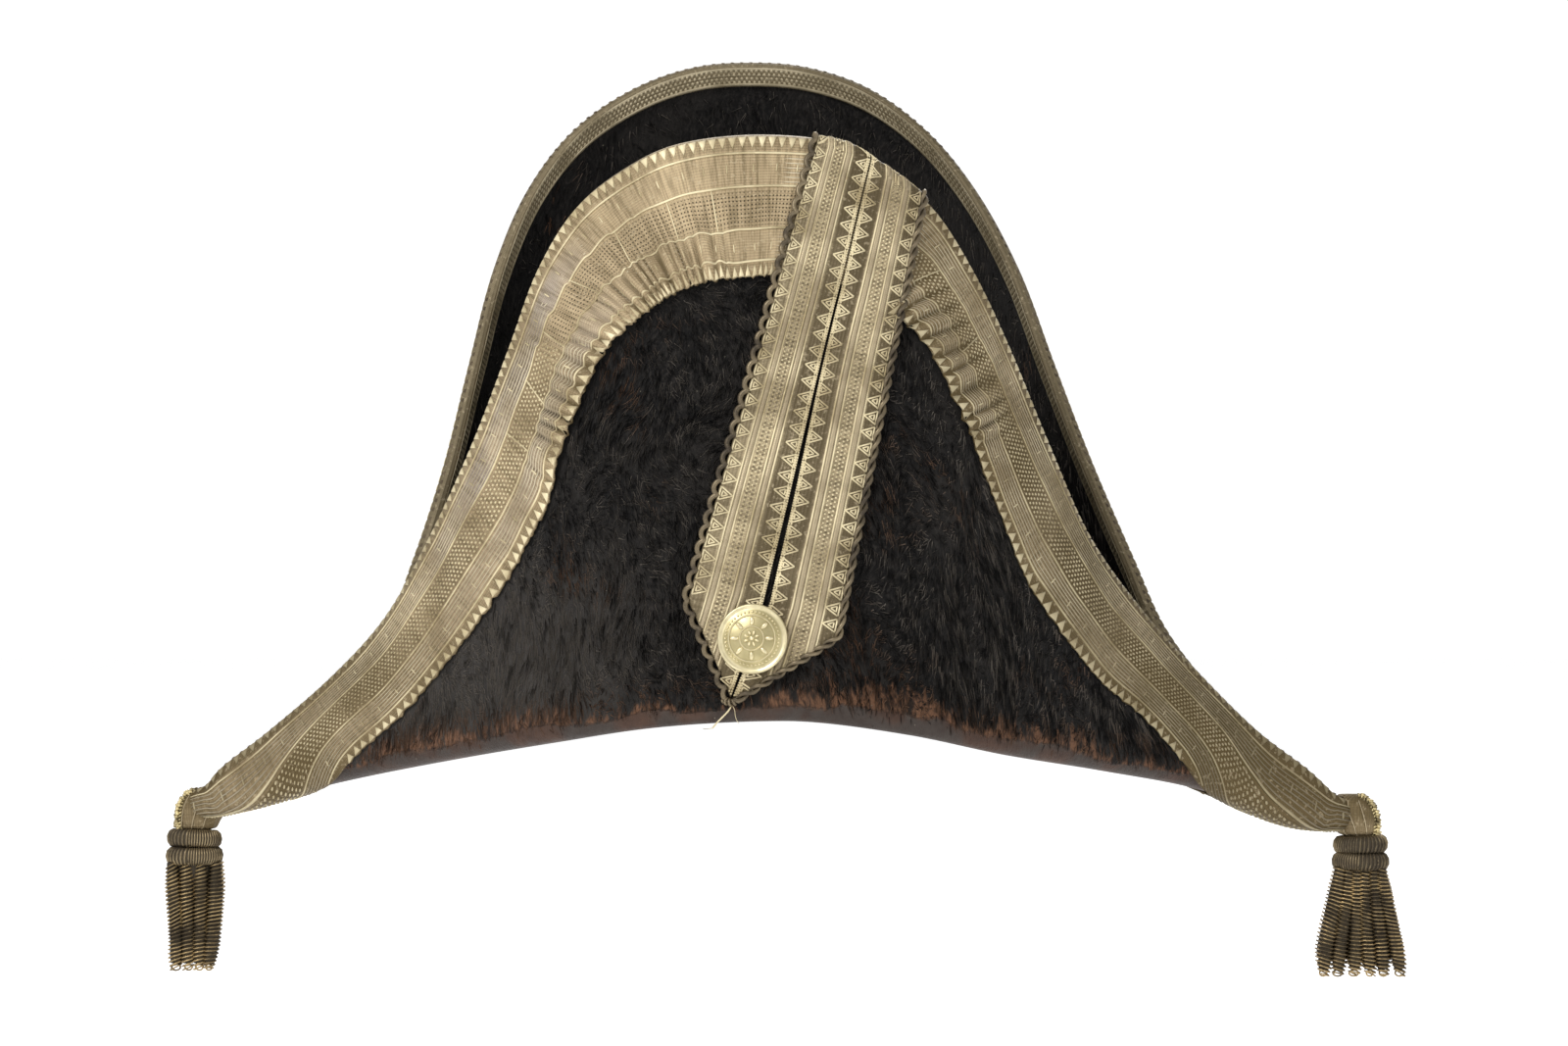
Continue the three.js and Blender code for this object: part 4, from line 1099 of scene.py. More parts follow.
@dataclass(frozen=True)
class FeltFinish:
    """Black short-napped felt, worn to brown near the fold and bare under it."""

    name: str = "napped felt"
    black: tuple = (0.0042, 0.0037, 0.0035, 1)
    sheen: tuple = (0.027, 0.0235, 0.0205, 1)
    pale: tuple = (0.052, 0.046, 0.041, 1)
    brown: tuple = (0.18, 0.09, 0.05, 1)
    bare: tuple = (0.062, 0.051, 0.044, 1)

    def make(self, shop: Workshop) -> bpy.types.Material:
        """Build the material."""
        material, nodes, shader = shop.start(self.name, 0.78, 0)
        place = nodes.place()
        nap = nodes.group(shop.nap, Vector=place, Swirl=22.0, Hair=900.0)
        height = nodes.read("fold_height")
        jag = nodes.noise(place, 130, 4, 0.7)
        patch = nodes.noise(place, 24, 2)
        combed = nodes.vector("MULTIPLY", place, (1.0, 1.0, 0.22))
        ragged = nodes.sum("SUBTRACT", nodes.noise(combed, 420, 3, 0.6), 0.5)
        line = nodes.sum("MULTIPLY_ADD", nodes.sum("SUBTRACT", jag, 0.5), 5.0, height)
        hairy = nodes.sum("MULTIPLY_ADD", ragged, 22.0, line)
        spread = nodes.sum("MULTIPLY_ADD", nodes.sum("SUBTRACT", patch, 0.5), -36.0, hairy)
        scuffed = nodes.sum("MULTIPLY_ADD", nodes.sum("SUBTRACT", patch, 0.42), -16.0, line)
        bare = nodes.spread(scuffed, 4.8, 3.0)
        worn = nodes.spread(spread, 11.0, 6.0)
        shade = nodes.blend(nap.outputs["Shade"], self.black, self.sheen)
        patchy = nodes.blend(
            nodes.spread(nodes.noise(place, 34, 3), 0.42, 0.66, 0, 0.55), shade, self.sheen
        )
        # Painted sheen: the low left of the front flap is lightened where the nap catches the
        # light.
        sheened = nodes.blend(nodes.read("pale"), patchy, self.pale)
        tint = nodes.blend(nodes.sum("MULTIPLY", nap.outputs["Tuft"], 0.35), sheened, self.black)
        rust = nodes.blend(
            nodes.spread(nap.outputs["Height"], 0.75, 1.1), self.brown, (0.022, 0.013, 0.009, 1)
        )
        browned = nodes.blend(nodes.sum("MULTIPLY", worn, 0.9), tint, rust)
        ruddy = nodes.blend(
            nodes.spread(nodes.noise(place, 60, 3), 0.42, 0.62), self.bare, (0.088, 0.046, 0.03, 1)
        )
        grain = nodes.blend(nodes.noise(place, 240, 3), ruddy, (0.03, 0.02, 0.016, 1))
        lint = nodes.spread(nodes.noise(place, 620, 1), 0.79, 0.82, 0, 0.5)
        colour = nodes.blend(bare, browned, grain)
        nodes.feed(shader.inputs["Base Color"], nodes.blend(lint, colour, (0.3, 0.27, 0.2, 1)))
        nodes.feed(shader.inputs["Roughness"], nodes.spread(bare, 0, 1, 0.8, 0.5))
        shader.inputs["Specular IOR Level"].default_value = 0.16
        shader.inputs["Sheen Weight"].default_value = 0.03
        shader.inputs["Sheen Roughness"].default_value = 0.35
        fine = nodes.sum("MULTIPLY", nap.outputs["Height"], nodes.spread(bare, 0, 1, 1, 0.25))
        shop.bump(nodes, shader, fine, 2.2, 1.0)
        return material


@dataclass(frozen=True)
class HairFinish:
    """Single hairs of the nap, from black to dull brown."""

    name: str = "felt hairs"
    black: tuple = (0.0032, 0.0028, 0.0026, 1)
    grey: tuple = (0.105, 0.092, 0.078, 1)
    rusty: tuple = (0.11, 0.062, 0.038, 1)

    def make(self, shop: Workshop) -> bpy.types.Material:
        """Build the material."""
        material, nodes, shader = shop.start(self.name, 0.55, 0)
        place = nodes.place()
        strand = nodes.read("strand")
        nap = nodes.group(shop.nap, Vector=place, Swirl=22.0, Hair=900.0)
        low = nodes.spread(nodes.read("fold_height"), 22.0, 8.0)
        brown = nodes.sum("MAXIMUM", nodes.spread(nodes.noise(place, 26, 2), 0.54, 0.7), low)
        light = nodes.blend(brown, self.grey, self.rusty)
        colour = nodes.blend(nodes.spread(strand, 0.2, 1.0), self.black, light)
        nodes.feed(shader.inputs["Base Color"], colour)
        nodes.feed(shader.inputs["Roughness"], nodes.spread(strand, 0, 1, 0.65, 0.45))
        shader.inputs["Specular IOR Level"].default_value = 0.25
        shop.bump(nodes, shader, nap.outputs["Height"], 0.3, 0.4)
        return material


@dataclass(frozen=True)
class LaceFinish:
    """Ground of woven metal lace, on a map in millimetres along and across."""

    name: str
    light: tuple = (0.57, 0.44, 0.265, 1)
    dark: tuple = (0.108, 0.075, 0.029, 1)
    deep: tuple = (0.036, 0.025, 0.011, 1)
    silver: tuple = (0.4, 0.355, 0.33, 1)
    thread: float = 0.62

    def make(self, shop: Workshop) -> bpy.types.Material:
        """Build the material."""
        material, nodes, shader = shop.start(self.name, 0.5, 0.35)
        shader.inputs["Specular IOR Level"].default_value = 0.3
        place = nodes.place()
        flat = nodes.put("UVMap", uv_map="flat").outputs[0]
        tone = nodes.read("tone")
        rough = nodes.read("pattern")
        weave = nodes.group(shop.weave, Vector=flat, Along=self.thread, Across=self.thread * 1.7)
        holes = nodes.group(shop.weave, Vector=flat, Along=1.65, Across=1.55)
        tarnish_glint_node = nodes.group(shop.tarnish, Vector=place, Patch=30.0, Speck=700.0)
        grey = nodes.read("silver")
        # Tone mixes the ground from dark to light; besides the lace's own uneven tone it carries
        # painted shade on the right limb and in the gathers' grooves.
        base = nodes.blend(grey, nodes.blend(tone, self.dark, self.light), self.silver)
        stretch = nodes.vector("MULTIPLY", flat, (1.0, 0.07, 1.0))
        streak = nodes.spread(nodes.noise(stretch, 0.75, 3, 0.6), 0.4, 0.68, 0, 0.6)
        aged = nodes.blend(nodes.sum("MULTIPLY", tarnish_glint_node.outputs["Dark"], 0.35), base, self.dark)
        streaked = nodes.blend(streak, aged, self.dark)
        lined = nodes.blend(nodes.sum("MULTIPLY", weave.outputs["Shade"], 0.5), streaked, self.deep)
        pitted = nodes.sum("MULTIPLY", nodes.spread(holes.outputs["Shade"], 0.48, 0.74), rough)
        dotted = nodes.blend(nodes.sum("MULTIPLY", pitted, 0.95), lined, self.deep)
        # Painted glints: bright specks of highlight on the metal threads.
        bright = nodes.blend(
            nodes.sum("MULTIPLY", tarnish_glint_node.outputs["Glint"], 0.3), dotted, (0.6, 0.5, 0.33, 1)
        )
        nodes.feed(shader.inputs["Base Color"], bright)
        relief = nodes.sum("MULTIPLY_ADD", pitted, -1.6, weave.outputs["Height"])
        shop.bump(nodes, shader, relief, 0.25, 0.6)
        return material


@dataclass(frozen=True)
class ThreadFinish:
    """Raised or wound metal thread."""

    name: str
    light: tuple
    dark: tuple
    rough: float = 0.42
    metal: float = 0.4
    patch: float = 60.0
    speck: float = 900.0

    def make(self, shop: Workshop) -> bpy.types.Material:
        """Build the material."""
        material, nodes, shader = shop.start(self.name, self.rough, self.metal)
        shader.inputs["Specular IOR Level"].default_value = 0.3
        place = nodes.place()
        tarnish_glint_node = nodes.group(shop.tarnish, Vector=place, Patch=self.patch, Speck=self.speck)
        dim = nodes.read("dim")
        colour = nodes.blend(tarnish_glint_node.outputs["Dark"], self.light, self.dark)
        # Painted glints: bright specks of highlight on the thread.
        glint = nodes.blend(nodes.sum("MULTIPLY", tarnish_glint_node.outputs["Glint"], 0.45), colour, self.light)
        # Painted shade: the dim attribute darkens the thread towards a deeper brown, mostly on the
        # hat's right and in the gathers' grooves.
        deep = tuple(value * 0.45 for value in self.dark[:3]) + (1,)
        nodes.feed(shader.inputs["Base Color"], nodes.blend(dim, glint, deep))
        nodes.feed(
            shader.inputs["Roughness"],
            nodes.spread(tarnish_glint_node.outputs["Dark"], 0, 1, self.rough, self.rough + 0.2),
        )
        shop.bump(nodes, shader, nodes.noise(place, 1600, 2), 0.12, 0.5)
        return material


@dataclass(frozen=True)
class BrassFinish:
    """Pale brass with brushed wear, painted shade in the hollow field and painted light on what is
    raised.
    """

    name: str = "pale brass"
    light: tuple = (0.8, 0.71, 0.46, 1)
    field: tuple = (0.5, 0.43, 0.235, 1)
    dark: tuple = (0.24, 0.2, 0.09, 1)

    def make(self, shop: Workshop) -> bpy.types.Material:
        """Build the material."""
        material, nodes, shader = shop.start(self.name, 0.34, 0.92)
        place = nodes.place()
        tarnish_glint_node = nodes.group(shop.tarnish, Vector=place, Patch=180.0, Speck=1400.0)
        raised = nodes.read("raised")
        # Painted light and shade: raised parts take the light brass, the field between them the
        # darker.
        field = nodes.blend(raised, self.field, self.light)
        colour = nodes.blend(nodes.sum("MULTIPLY", tarnish_glint_node.outputs["Dark"], 0.4), field, self.dark)
        nodes.feed(shader.inputs["Base Color"], colour)
        nodes.feed(shader.inputs["Roughness"], nodes.spread(tarnish_glint_node.outputs["Dark"], 0, 1, 0.36, 0.5))
        shop.bump(nodes, shader, nodes.noise(place, 2200, 3), 0.05, 0.4)
        return material


@dataclass(frozen=True)
class PlainFinish:
    """The pale floor."""

    name: str = "pale floor"
    colour: tuple = (0.9, 0.9, 0.9, 1)

    def make(self, shop: Workshop) -> bpy.types.Material:
        """Build the material."""
        material, nodes, shader = shop.start(self.name, 0.9, 0)
        place = nodes.place()
        tint = nodes.blend(nodes.noise(place, 3, 2), self.colour, (0.88, 0.88, 0.88, 1))
        nodes.feed(shader.inputs["Base Color"], tint)
        shader.inputs["Emission Color"].default_value = (1, 1, 1, 1)
        shader.inputs["Emission Strength"].default_value = 0.5
        return material


class Finish(Enum):
    """The hat's finishes."""

    FELT = FeltFinish()
    HAIR = HairFinish()
    FRONT_LACE = LaceFinish("front lace ground")
    BACK_LACE = LaceFinish(
        "back lace ground", light=(0.28, 0.225, 0.135, 1), dark=(0.15, 0.118, 0.066, 1)
    )
    LOOP_LACE = LaceFinish(
        "loop lace ground", light=(0.48, 0.39, 0.24, 1), dark=(0.1, 0.074, 0.036, 1)
    )
    CREAM = ThreadFinish("cream thread", (0.76, 0.66, 0.43, 1), (0.38, 0.305, 0.17, 1), 0.5, 0.25)
    RIB = ThreadFinish("fine rib", (0.66, 0.58, 0.42, 1), (0.33, 0.27, 0.17, 1), 0.42, 0.3)
    SATIN = ThreadFinish("satin rib", (0.45, 0.37, 0.24, 1), (0.3, 0.24, 0.15, 1), 0.36, 0.4)
    DARK_THREAD = ThreadFinish(
        "dark thread", (0.17, 0.125, 0.075, 1), (0.07, 0.05, 0.03, 1), 0.5, 0.3
    )
    CORD = ThreadFinish(
        "wound cord", (0.205, 0.162, 0.1, 1), (0.055, 0.043, 0.03, 1), 0.34, 0.55, 120.0
    )
    MESH = ThreadFinish("binding mesh", (0.5, 0.425, 0.285, 1), (0.27, 0.222, 0.135, 1), 0.46, 0.35)
    BULLION = ThreadFinish(
        "bullion wire", (0.42, 0.305, 0.15, 1), (0.078, 0.058, 0.034, 1), 0.32, 0.75, 110.0
    )
    # Dark core of the rings and bullion ropes; inside the ropes and fringe its darkness is painted
    # shade.
    CORE = ThreadFinish("bullion core", (0.05, 0.038, 0.022, 1), (0.02, 0.015, 0.01, 1), 0.7, 0.1)
    RING = ThreadFinish(
        "ring wire", (0.29, 0.225, 0.13, 1), (0.075, 0.058, 0.038, 1), 0.34, 0.7, 90.0
    )
    GILT = ThreadFinish(
        "gilt cord", (0.64, 0.53, 0.28, 1), (0.1, 0.074, 0.036, 1), 0.34, 0.55, 300.0
    )
    BRASS = BrassFinish()
    FLOOR = PlainFinish()


@dataclass
class Dresser:
    """Gives pieces their finish and body."""

    shop: Workshop
    made: dict[Finish, bpy.types.Material] = field(default_factory=dict)

    def dress(
        self, piece: bpy.types.Object, finish: Finish, slot: str | None, *nodes: str
    ) -> bpy.types.Object:
        """Finish a piece and tie it to the hat.

        Args:
            piece: the piece.
            finish: its finish.
            slot: its material slot in the record, or None for what isn't part of the hat.
            nodes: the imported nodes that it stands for.

        Returns:
            The piece.
        """
        if finish not in self.made:
            self.made[finish] = finish.value.make(self.shop)
        piece.data.materials.clear()
        piece.data.materials.append(self.made[finish])
        if slot is None:
            return piece
        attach(piece, BODY)
        if nodes:
            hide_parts(*nodes)
        log.info("%s: %d faces", piece.name, len(piece.data.polygons))
        return piece


# The hat's parts


@dataclass
class FeltBody:
    """The felt: brim, flaps, horns and crown as one shell."""

    form: HatForm
    crown_turns: int = 5
    crown_rows: int = 24
    crown_plan: tuple[float, float] = (84.0, 101.0)
    crown_shade: float = 60.0

    def _brim(self) -> bpy.types.Object:
        """Lay the brim and both flaps as one closed ring of cloth."""
        grid = self.form.grid
        count, rows = grid.shape[:2]

        def place(along: Array, across: Array) -> Array:
            """Read the brim's own grid."""
            i = np.round(along * count).astype(int) % count
            return grid[i, np.round(across * (rows - 1)).astype(int)]

        return laid_grid("brim", count, rows - 1, place)[0]

    def _crown(self) -> bpy.types.Object:
        """Lay the crown, from the brim's inside over the rim's bend to its top."""
        form = self.form
        head = np.flatnonzero(form.head)
        inner = form.grid[head, -1]
        corner = form.corner[head]
        total = self.crown_turns + self.crown_rows
        levels = np.linspace(0, len(form.CROWN_UP) - 1, self.crown_rows + 1)
        steps = np.arange(len(form.CROWN_UP))
        size = np.clip(smooth_column(steps, form.CROWN_SIZE, levels), 0, 1)
        up = smooth_column(steps, form.CROWN_UP, levels)
        size[0] = 1.0
        size[-1] = 0.0
        base = form.rim_radius / form.crown_height
        up = base + (up - up[0]) * (1.02 - base) / (up[-1] - up[0])

        def place(along: Array, across: Array) -> Array:
            """Bend up from the brim, then follow the crown's outline."""
            i = np.round(along * len(head)).astype(int) % len(head)
            row = np.round(across * total).astype(int)
            t = np.clip(row / self.crown_turns, 0, 1)[:, None]
            wall = corner[i] + (0, 0, form.rim_radius)
            bend = (1 - t) ** 2 * inner[i] + 2 * t * (1 - t) * corner[i] + t * t * wall
            k = np.clip(row - self.crown_turns, 0, self.crown_rows)
            tall = (form.crown_height - corner[i, 2]) * up[k]
            shell = stacked(corner[i, 0] * size[k], corner[i, 1] * size[k], corner[i, 2] + tall)
            return np.where(t < 1, bend, shell)

        return laid_grid("crown", len(head), total, place)[0]

    def build(self, dresser: Dresser) -> bpy.types.Object:
        """Build and finish the felt.

        Args:
            dresser: what finishes it.

        Returns:
            The felt.
        """
        felt = joined("felt", [self._brim(), self._crown()], 0.02)
        spots = np.array([tuple(v.co) for v in felt.data.vertices]) / METRES
        height = spots[:, 2] - self.form.fold_level(spots[:, 0])
        oval = (spots[:, 0] / self.crown_plan[0]) ** 2 + (spots[:, 1] / self.crown_plan[1]) ** 2
        add_shade(felt, "fold_height", np.where(oval < 1, self.crown_shade, height))
        add_shade(felt, "pale", low_left(spots, height))
        thicken(felt, self.form.felt, 0)
        return dresser.dress(felt, Finish.FELT, "felt", "felt_body")


def low_left(spots: Array, height: Array) -> Array:
    """Give how far places lie in the lighter patch of the front flap, low down on its left, where
    sheen is painted.
    """
    return ramp(-spots[:, 0], 25, 95) * ramp(-height, -85, -35) * (spots[:, 1] < 0)


@dataclass
class Nap:
    """Loose hairs of the felt, each a thin closed spike that lies in the swirl of the brushing."""

    form: HatForm
    front_edge: Lay
    seed: int = 77
    front: int = 17000
    inner: int = 5200
    back: int = 2800
    long: float = 4.6
    wide: float = 0.16
    clear: float = 6.0
    clear_back: float = 8.0

    def _spikes(
        self, station: Array, depth: Array, inside: bool, random: np.random.Generator
    ) -> tuple:
        """Lay spikes on one face of the felt.

        Args:
            station: where round the hat each is rooted.
            depth: its distance from the edge.
            inside: whether it is on the inner face.
            random: the random numbers.

        Returns:
            The vertices, four for each spike, and each spike's shade.
        """
        count = len(station)
        swirl = ripple(stacked(station * 2.0, depth), 46, self.seed + 2) * 0.8
        angle = swirl + random.normal(0, 0.35, count)
        size = self.long * random.uniform(0.5, 1.25, count)
        form = self.form
        row = depth / form.table_step
        step = form.mixed(form.spots, station + 1, row) - form.mixed(form.spots, station, row)
        column = np.maximum(np.linalg.norm(step, axis=1), 0.4)

        def at(along: Array, down: Array, high: Array) -> Array:
            """Place points beside the roots."""
            place = station + along / column
            deep = np.maximum(depth + down, 0.5)
            inwards = -(deep + 2 * (form.felt / 2 + high)) if inside else deep
            return form.place(place, inwards, high)

        half = self.wide * random.uniform(0.7, 1.4, count)
        low = np.full(count, -0.12)
        side = at(half * np.cos(angle), -half * np.sin(angle), low)
        other = at(-half * np.cos(angle), half * np.sin(angle), low)
        top = at(size * 0, size * 0, low + 0.55)
        tip = at(size * np.sin(angle), size * np.cos(angle), random.uniform(0.25, 0.95, count))
        clump = ripple(stacked(station * 2.0, depth), 9, self.seed + 4, 14)
        shade = np.clip(0.4 + 0.34 * clump + random.normal(0, 0.17, count), 0, 1)
        return np.stack([side, other, top, tip], 1).reshape(-1, 3), shade

    def build(self, dresser: Dresser) -> None:
        """Build and finish the hairs.

        Args:
            dresser: what finishes them.
        """
        form = self.form
        random = np.random.default_rng(self.seed)
        first, last = self.clear, form.right_end - self.clear
        relief, shades, levels = Relief(), [], []
        behind, end = form.right_end + self.clear_back, form.count - self.clear_back
        for count, most, low, high, inside, start in (
            (self.front * 3, self.front, first, last, False, None),
            (self.inner, self.inner, behind, end, True, 9.0),
            (self.back * 2, self.back, behind, end, False, None),
        ):
            station = random.uniform(low, high, count)
            floor = self.front_edge(station) + 0.5 if start is None else np.full(count, start)
            tall = np.interp(station, np.arange(form.count), form.lengths) - (36 if inside else 16)
            depth = random.uniform(0, 1, count) * (tall if not inside else np.minimum(tall, 85))
            keep = (depth > floor) & (depth < tall)
            spot = form.place(station, depth, depth * 0)
            above = spot[:, 2] - form.fold_level(spot[:, 0])
            keep &= (above > random.uniform(3, 13, count)) | (
                spot[:, 2] > form.fold_level(spot[:, 0]) + 40
            )
            chosen = np.flatnonzero(keep)[:most]
            points, shade = self._spikes(station[chosen], depth[chosen], inside, random)
            # Painted sheen: hairs in the low left of the front flap are lightened as if they catch
            # the light.
            shade = shade + 0.5 * low_left(spot[chosen], above[chosen])
            shade = np.clip(shade + inside * 0.3 * ramp(spot[chosen, 0], -20, 40), 0, 1)
            levels.append(np.repeat(above[chosen], 4))
            index = np.arange(len(chosen))[:, None] * 4
            for a, b, c in ((0, 1, 2), (1, 3, 2), (0, 2, 3), (0, 3, 1)):
                order = np.hstack([index + a, index + b, index + c]) + relief.count
                relief.faces.extend(map(tuple, order.tolist()))
            relief.points.append(points)
            relief.count += len(points)
            shades.append(np.repeat(shade, 4))
        nap = relief.piece("felt_nap", smooth=False)
        pick_only(nap)
        bpy.ops.object.mode_set(mode="EDIT")
        bpy.ops.mesh.select_all(action="SELECT")
        bpy.ops.mesh.normals_make_consistent(inside=False)
        bpy.ops.object.mode_set(mode="OBJECT")
        add_shade(nap, "strand", np.concatenate(shades))
        add_shade(nap, "fold_height", np.concatenate(levels))
        dresser.dress(nap, Finish.HAIR, "felt")


LACE_ALONG = (0, 0.12, 0.22, 0.32, 0.42, 0.5, 0.6, 0.7, 0.8, 1)
LACE_WIDE = {
    Hand.LEFT: (1.06, 1.07, 1.08, 0.99, 0.98, 0.95, 0.81, 0.68, 0.62, 0.58),
    Hand.RIGHT: (1.04, 0.97, 0.82, 0.83, 0.88, 0.82, 0.76, 0.7, 0.66, 0.6),
}


@dataclass
class LaceBand:
    """The wide lace along one flap, turned over its edge."""

    form: HatForm
    face: Face
    name: str
    node: str
    slot: str
    ground: Finish
    held: str
    seed: int
    width: float = 52.0
    thickness: float = 0.8
    gap: float = 0.5
    turnover: float = 7.0
    seam: float = 1.2
    column: float = 1.45
    rows: int = 46
    ribs: int = 6
    tooth_pitch: float = 3.7
    dot_pitch: float = 1.85

    LINES = (0.112, 0.355, 0.66, 0.892)
    PUCKERED = ((-0.5, -0.03, 6.2, 2.0), (0.23, 0.46, 7.4, 2.1))
    OPEN_WORK = (-0.38, -0.34, 0.04, 0.08)
    DOTTED = (0.38, 0.4, 0.62, 0.64)
    DOT_PARTS = (0.4, 0.615)
    DOT_ROWS = 7
    RIBBED = ((0.15, 0.325), (0.695, 0.86))
    STITCHED = (0.22, 0.79)
    CREASES = (-0.47, -0.405, -0.35, -0.285, -0.2, -0.12, -0.06, 0.26, 0.34)
    LINE_STEP = 1.25
    FOOT_REACH = 75
    FOOT_SHIFT = 26
    END_FADE = 40
    CUT_FROM = 0.6
    MOST_CUT = 2.2
    SEEN_SHARE = 0.99

    def __post_init__(self) -> None:
        """Find where each column across the band starts and ends."""
        form = self.form
        first, last = (0, form.right_end) if self.face is Face.FRONT else (
            form.right_end, form.count
        )
        self.stations = np.arange(first, last + 1)
        here = self.stations % form.count
        self.wrap = 2 * (form.felt / 2 + self.gap + self.thickness)
        share = form.share[here]
        left = smooth_column(LACE_ALONG, LACE_WIDE[Hand.LEFT], np.abs(share))
        right = smooth_column(LACE_ALONG, LACE_WIDE[Hand.RIGHT], np.abs(share))
        wide = self.width * np.where(share < 0, left, right)
        wide = blurred(wide, 4)
        head = form.head[here] > 0
        tip = np.abs(share) > HORN_END
        room = form.lengths[here] - np.where(tip, form.tip_radius / 2, self.seam / 2)
        edge = form.edge[here]
        way = unit(np.gradient(edge, axis=0))
        path = unit(form.mixed(form.spots, here, wide / form.table_step) - edge)
        slant = np.sqrt(1 - np.sum(way * path, -1) ** 2)
        full = wide / np.maximum(slant, 0.5)
        depth = np.where(head, full, np.minimum(full, room))
        self.depth = blurred(depth, 2)
        self.depth = np.where(head, self.depth, np.minimum(self.depth, room))
        run = steps_along(edge)
        self.length = run[-1]
        self.along = np.linspace(0, self.length, int(self.length / self.column) + 1)
        self.start = np.interp(self.along, run, self.stations)
        self.share = np.interp(self.start, self.stations, share)
        self.wide = np.interp(self.start, self.stations, wide)
        self._find_feet(edge, way, run)

    def _find_feet(self, edge: Array, way: Array, run: Array) -> None:
        """Find where each column meets the band's inner edge, square to the outer one."""
        form = self.form
        feet = form.mixed(form.spots, self.stations % form.count, self.depth / form.table_step)
        spots = read_line(edge, run, self.along)
        ways = unit(blurred_columns(unit(read_line(way, run, self.along)), 6))
        off = np.einsum("ijk,ik->ij", feet[None] - spots[:, None], ways)
        far = np.linalg.norm(feet[None] - spots[:, None], axis=-1)
        score = np.abs(off) + np.maximum(far - self.FOOT_REACH, 0) * 2
        found = self.stations[np.argmin(score, 1)].astype(float)
        found = np.clip(found, self.start - self.FOOT_SHIFT, self.start + self.FOOT_SHIFT)
        found = np.maximum.accumulate(blurred(found, 9))
        ends = within(self.along, 0, self.END_FADE, self.length - self.END_FADE, self.length)
        self.foot = self.start + (found - self.start) * ends
        self.foot = np.maximum.accumulate(self.foot)
        self.reach = np.interp(self.foot, self.stations, self.depth)
        inner = form.mixed(form.spots, self.foot % form.count, self.reach / form.table_step)
        true_width = np.linalg.norm(inner - spots, axis=1)
        under = np.clip(self.wide / np.maximum(true_width, 1), 1, self.MOST_CUT)
        self.cut = np.where(np.abs(self.share) > self.CUT_FROM, blurred(under, 4), 1.0)

    def share_at(self, along: Array) -> Array:
        """Give the share of the horns' reach at distances along the band."""
        return np.interp(along, self.along, self.share)

    def inside(self, station: Array, inwards: Array) -> Array:
        """Give how far past the band's inner edge places on the flap lie."""
        return inwards - np.interp(station, self.stations, self.depth)

    def _pleats(self, along: Array, part: Array) -> tuple[Array, Array]:
        """Give the height of the gathers, and how deep in a groove between them a place lies."""
        share = self.share_at(along)
        lift, groove = np.zeros_like(along), np.zeros_like(along)
        for start, end, pitch, high in self.PUCKERED:
            fade = within(share, start, start + 0.05, end - 0.05, end)
            fade = fade * (ramp(part, 0.6, 0.74) if start < 0 else ramp(part, 0.2, 0.8))
            drift = ripple(along[:, None], 26, self.seed + 3) * 0.9
            wave = np.abs(np.sin((along / pitch) * math.pi + drift + part * 0.7))
            lift += fade * high * wave**0.8
            groove += fade * (1 - wave) ** 2
        return lift, groove

    def _raised(self, along: Array, across: Array) -> Array:
        """Give the height that gathers and puckers add."""
        share = self.share_at(along)
        part = np.clip(across / self.width, 0, 1)
        lift = self._pleats(along, part)[0]
        if self.face is Face.FRONT:
            spot = stacked(along, across * 1.6)
            turns = (along / 13.0 + across * 0.02 + ripple(spot, 70, 11) * 0.18) % 1.0
            fold = within(turns, 0.0, 0.86, 0.93, 1.0)
            zone = within(share, -0.42, -0.34, -0.2, -0.12)
            lift += zone * fold * 1.2 * within(part, 0.1, 0.3, 0.6, 0.85)
        soft = ripple(stacked(along, across), 34, self.seed) * 0.22
        return lift + (soft + 0.3) * ramp(part, 0.0, 0.12)

    def _shifted(self, along: Array, across: Array) -> Array:
        """Give how far the pattern wanders across the band, most where it is gathered."""
        share = self.share_at(along)
        part = np.clip(across / self.width, 0, 1)
        arc = within(share, -0.55, -0.4, -0.06, 0.0)
        pucker = within(share, 0.16, 0.24, 0.4, 0.5)
        wave = ripple(stacked(along, part * 30), 15, self.seed + 7)
        wide = ripple(along[:, None], 90, self.seed + 8)
        keep = within(part, 0.1, 0.5, 0.9, 1.01)
        scallop = self._pleats(along, np.maximum(part, 0.66))[0] * ramp(part, 0.5, 0.66) * -0.6
        return (wave * (0.08 + 0.22 * arc + 0.6 * pucker) + wide * 0.35 + scallop) * keep

    def lay(self, flat: Array) -> Array:
        """Lay points of the flat lace on the flap.

        Args:
            flat: along, across and height above the lace's face, in millimetres.

        Returns:
            The places in millimetres.
        """
        along, across, high = flat[:, 0], flat[:, 1], flat[:, 2]
        over = np.maximum(across, 0) + np.where(across > 0, self._shifted(along, across), 0)
        notch = np.abs(
            np.sin(math.pi * along / self.tooth_pitch)
        ) + 0.5 * ripple(along[:, None], 7, self.seed + 6)
        over = over + ramp(over / self.width, 0.94, 1.0) * (notch - 0.6) * 0.85
        cut = np.interp(along, self.along, self.cut)
        part = np.maximum(over, 0) / self.width * cut
        start = np.interp(along, self.along, self.start)
        foot = np.interp(along, self.along, self.foot)
        reach = np.interp(along, self.along, self.reach)
        part = np.minimum(part, np.where(cut > 1.01, 1.0, 1.03))
        station = start + (foot - start) * part
        depth = np.where(across < 0, across, part * np.interp(station, self.stations, self.depth))
        depth = np.where(across < 0, depth, part * reach * 0.35 + depth * 0.65)
        raised = np.where(across > 0, self._raised(along, across), 0.0)
        lift = self.gap + self.thickness + high + raised
        return self.form.place(station % self.form.count, depth, lift)

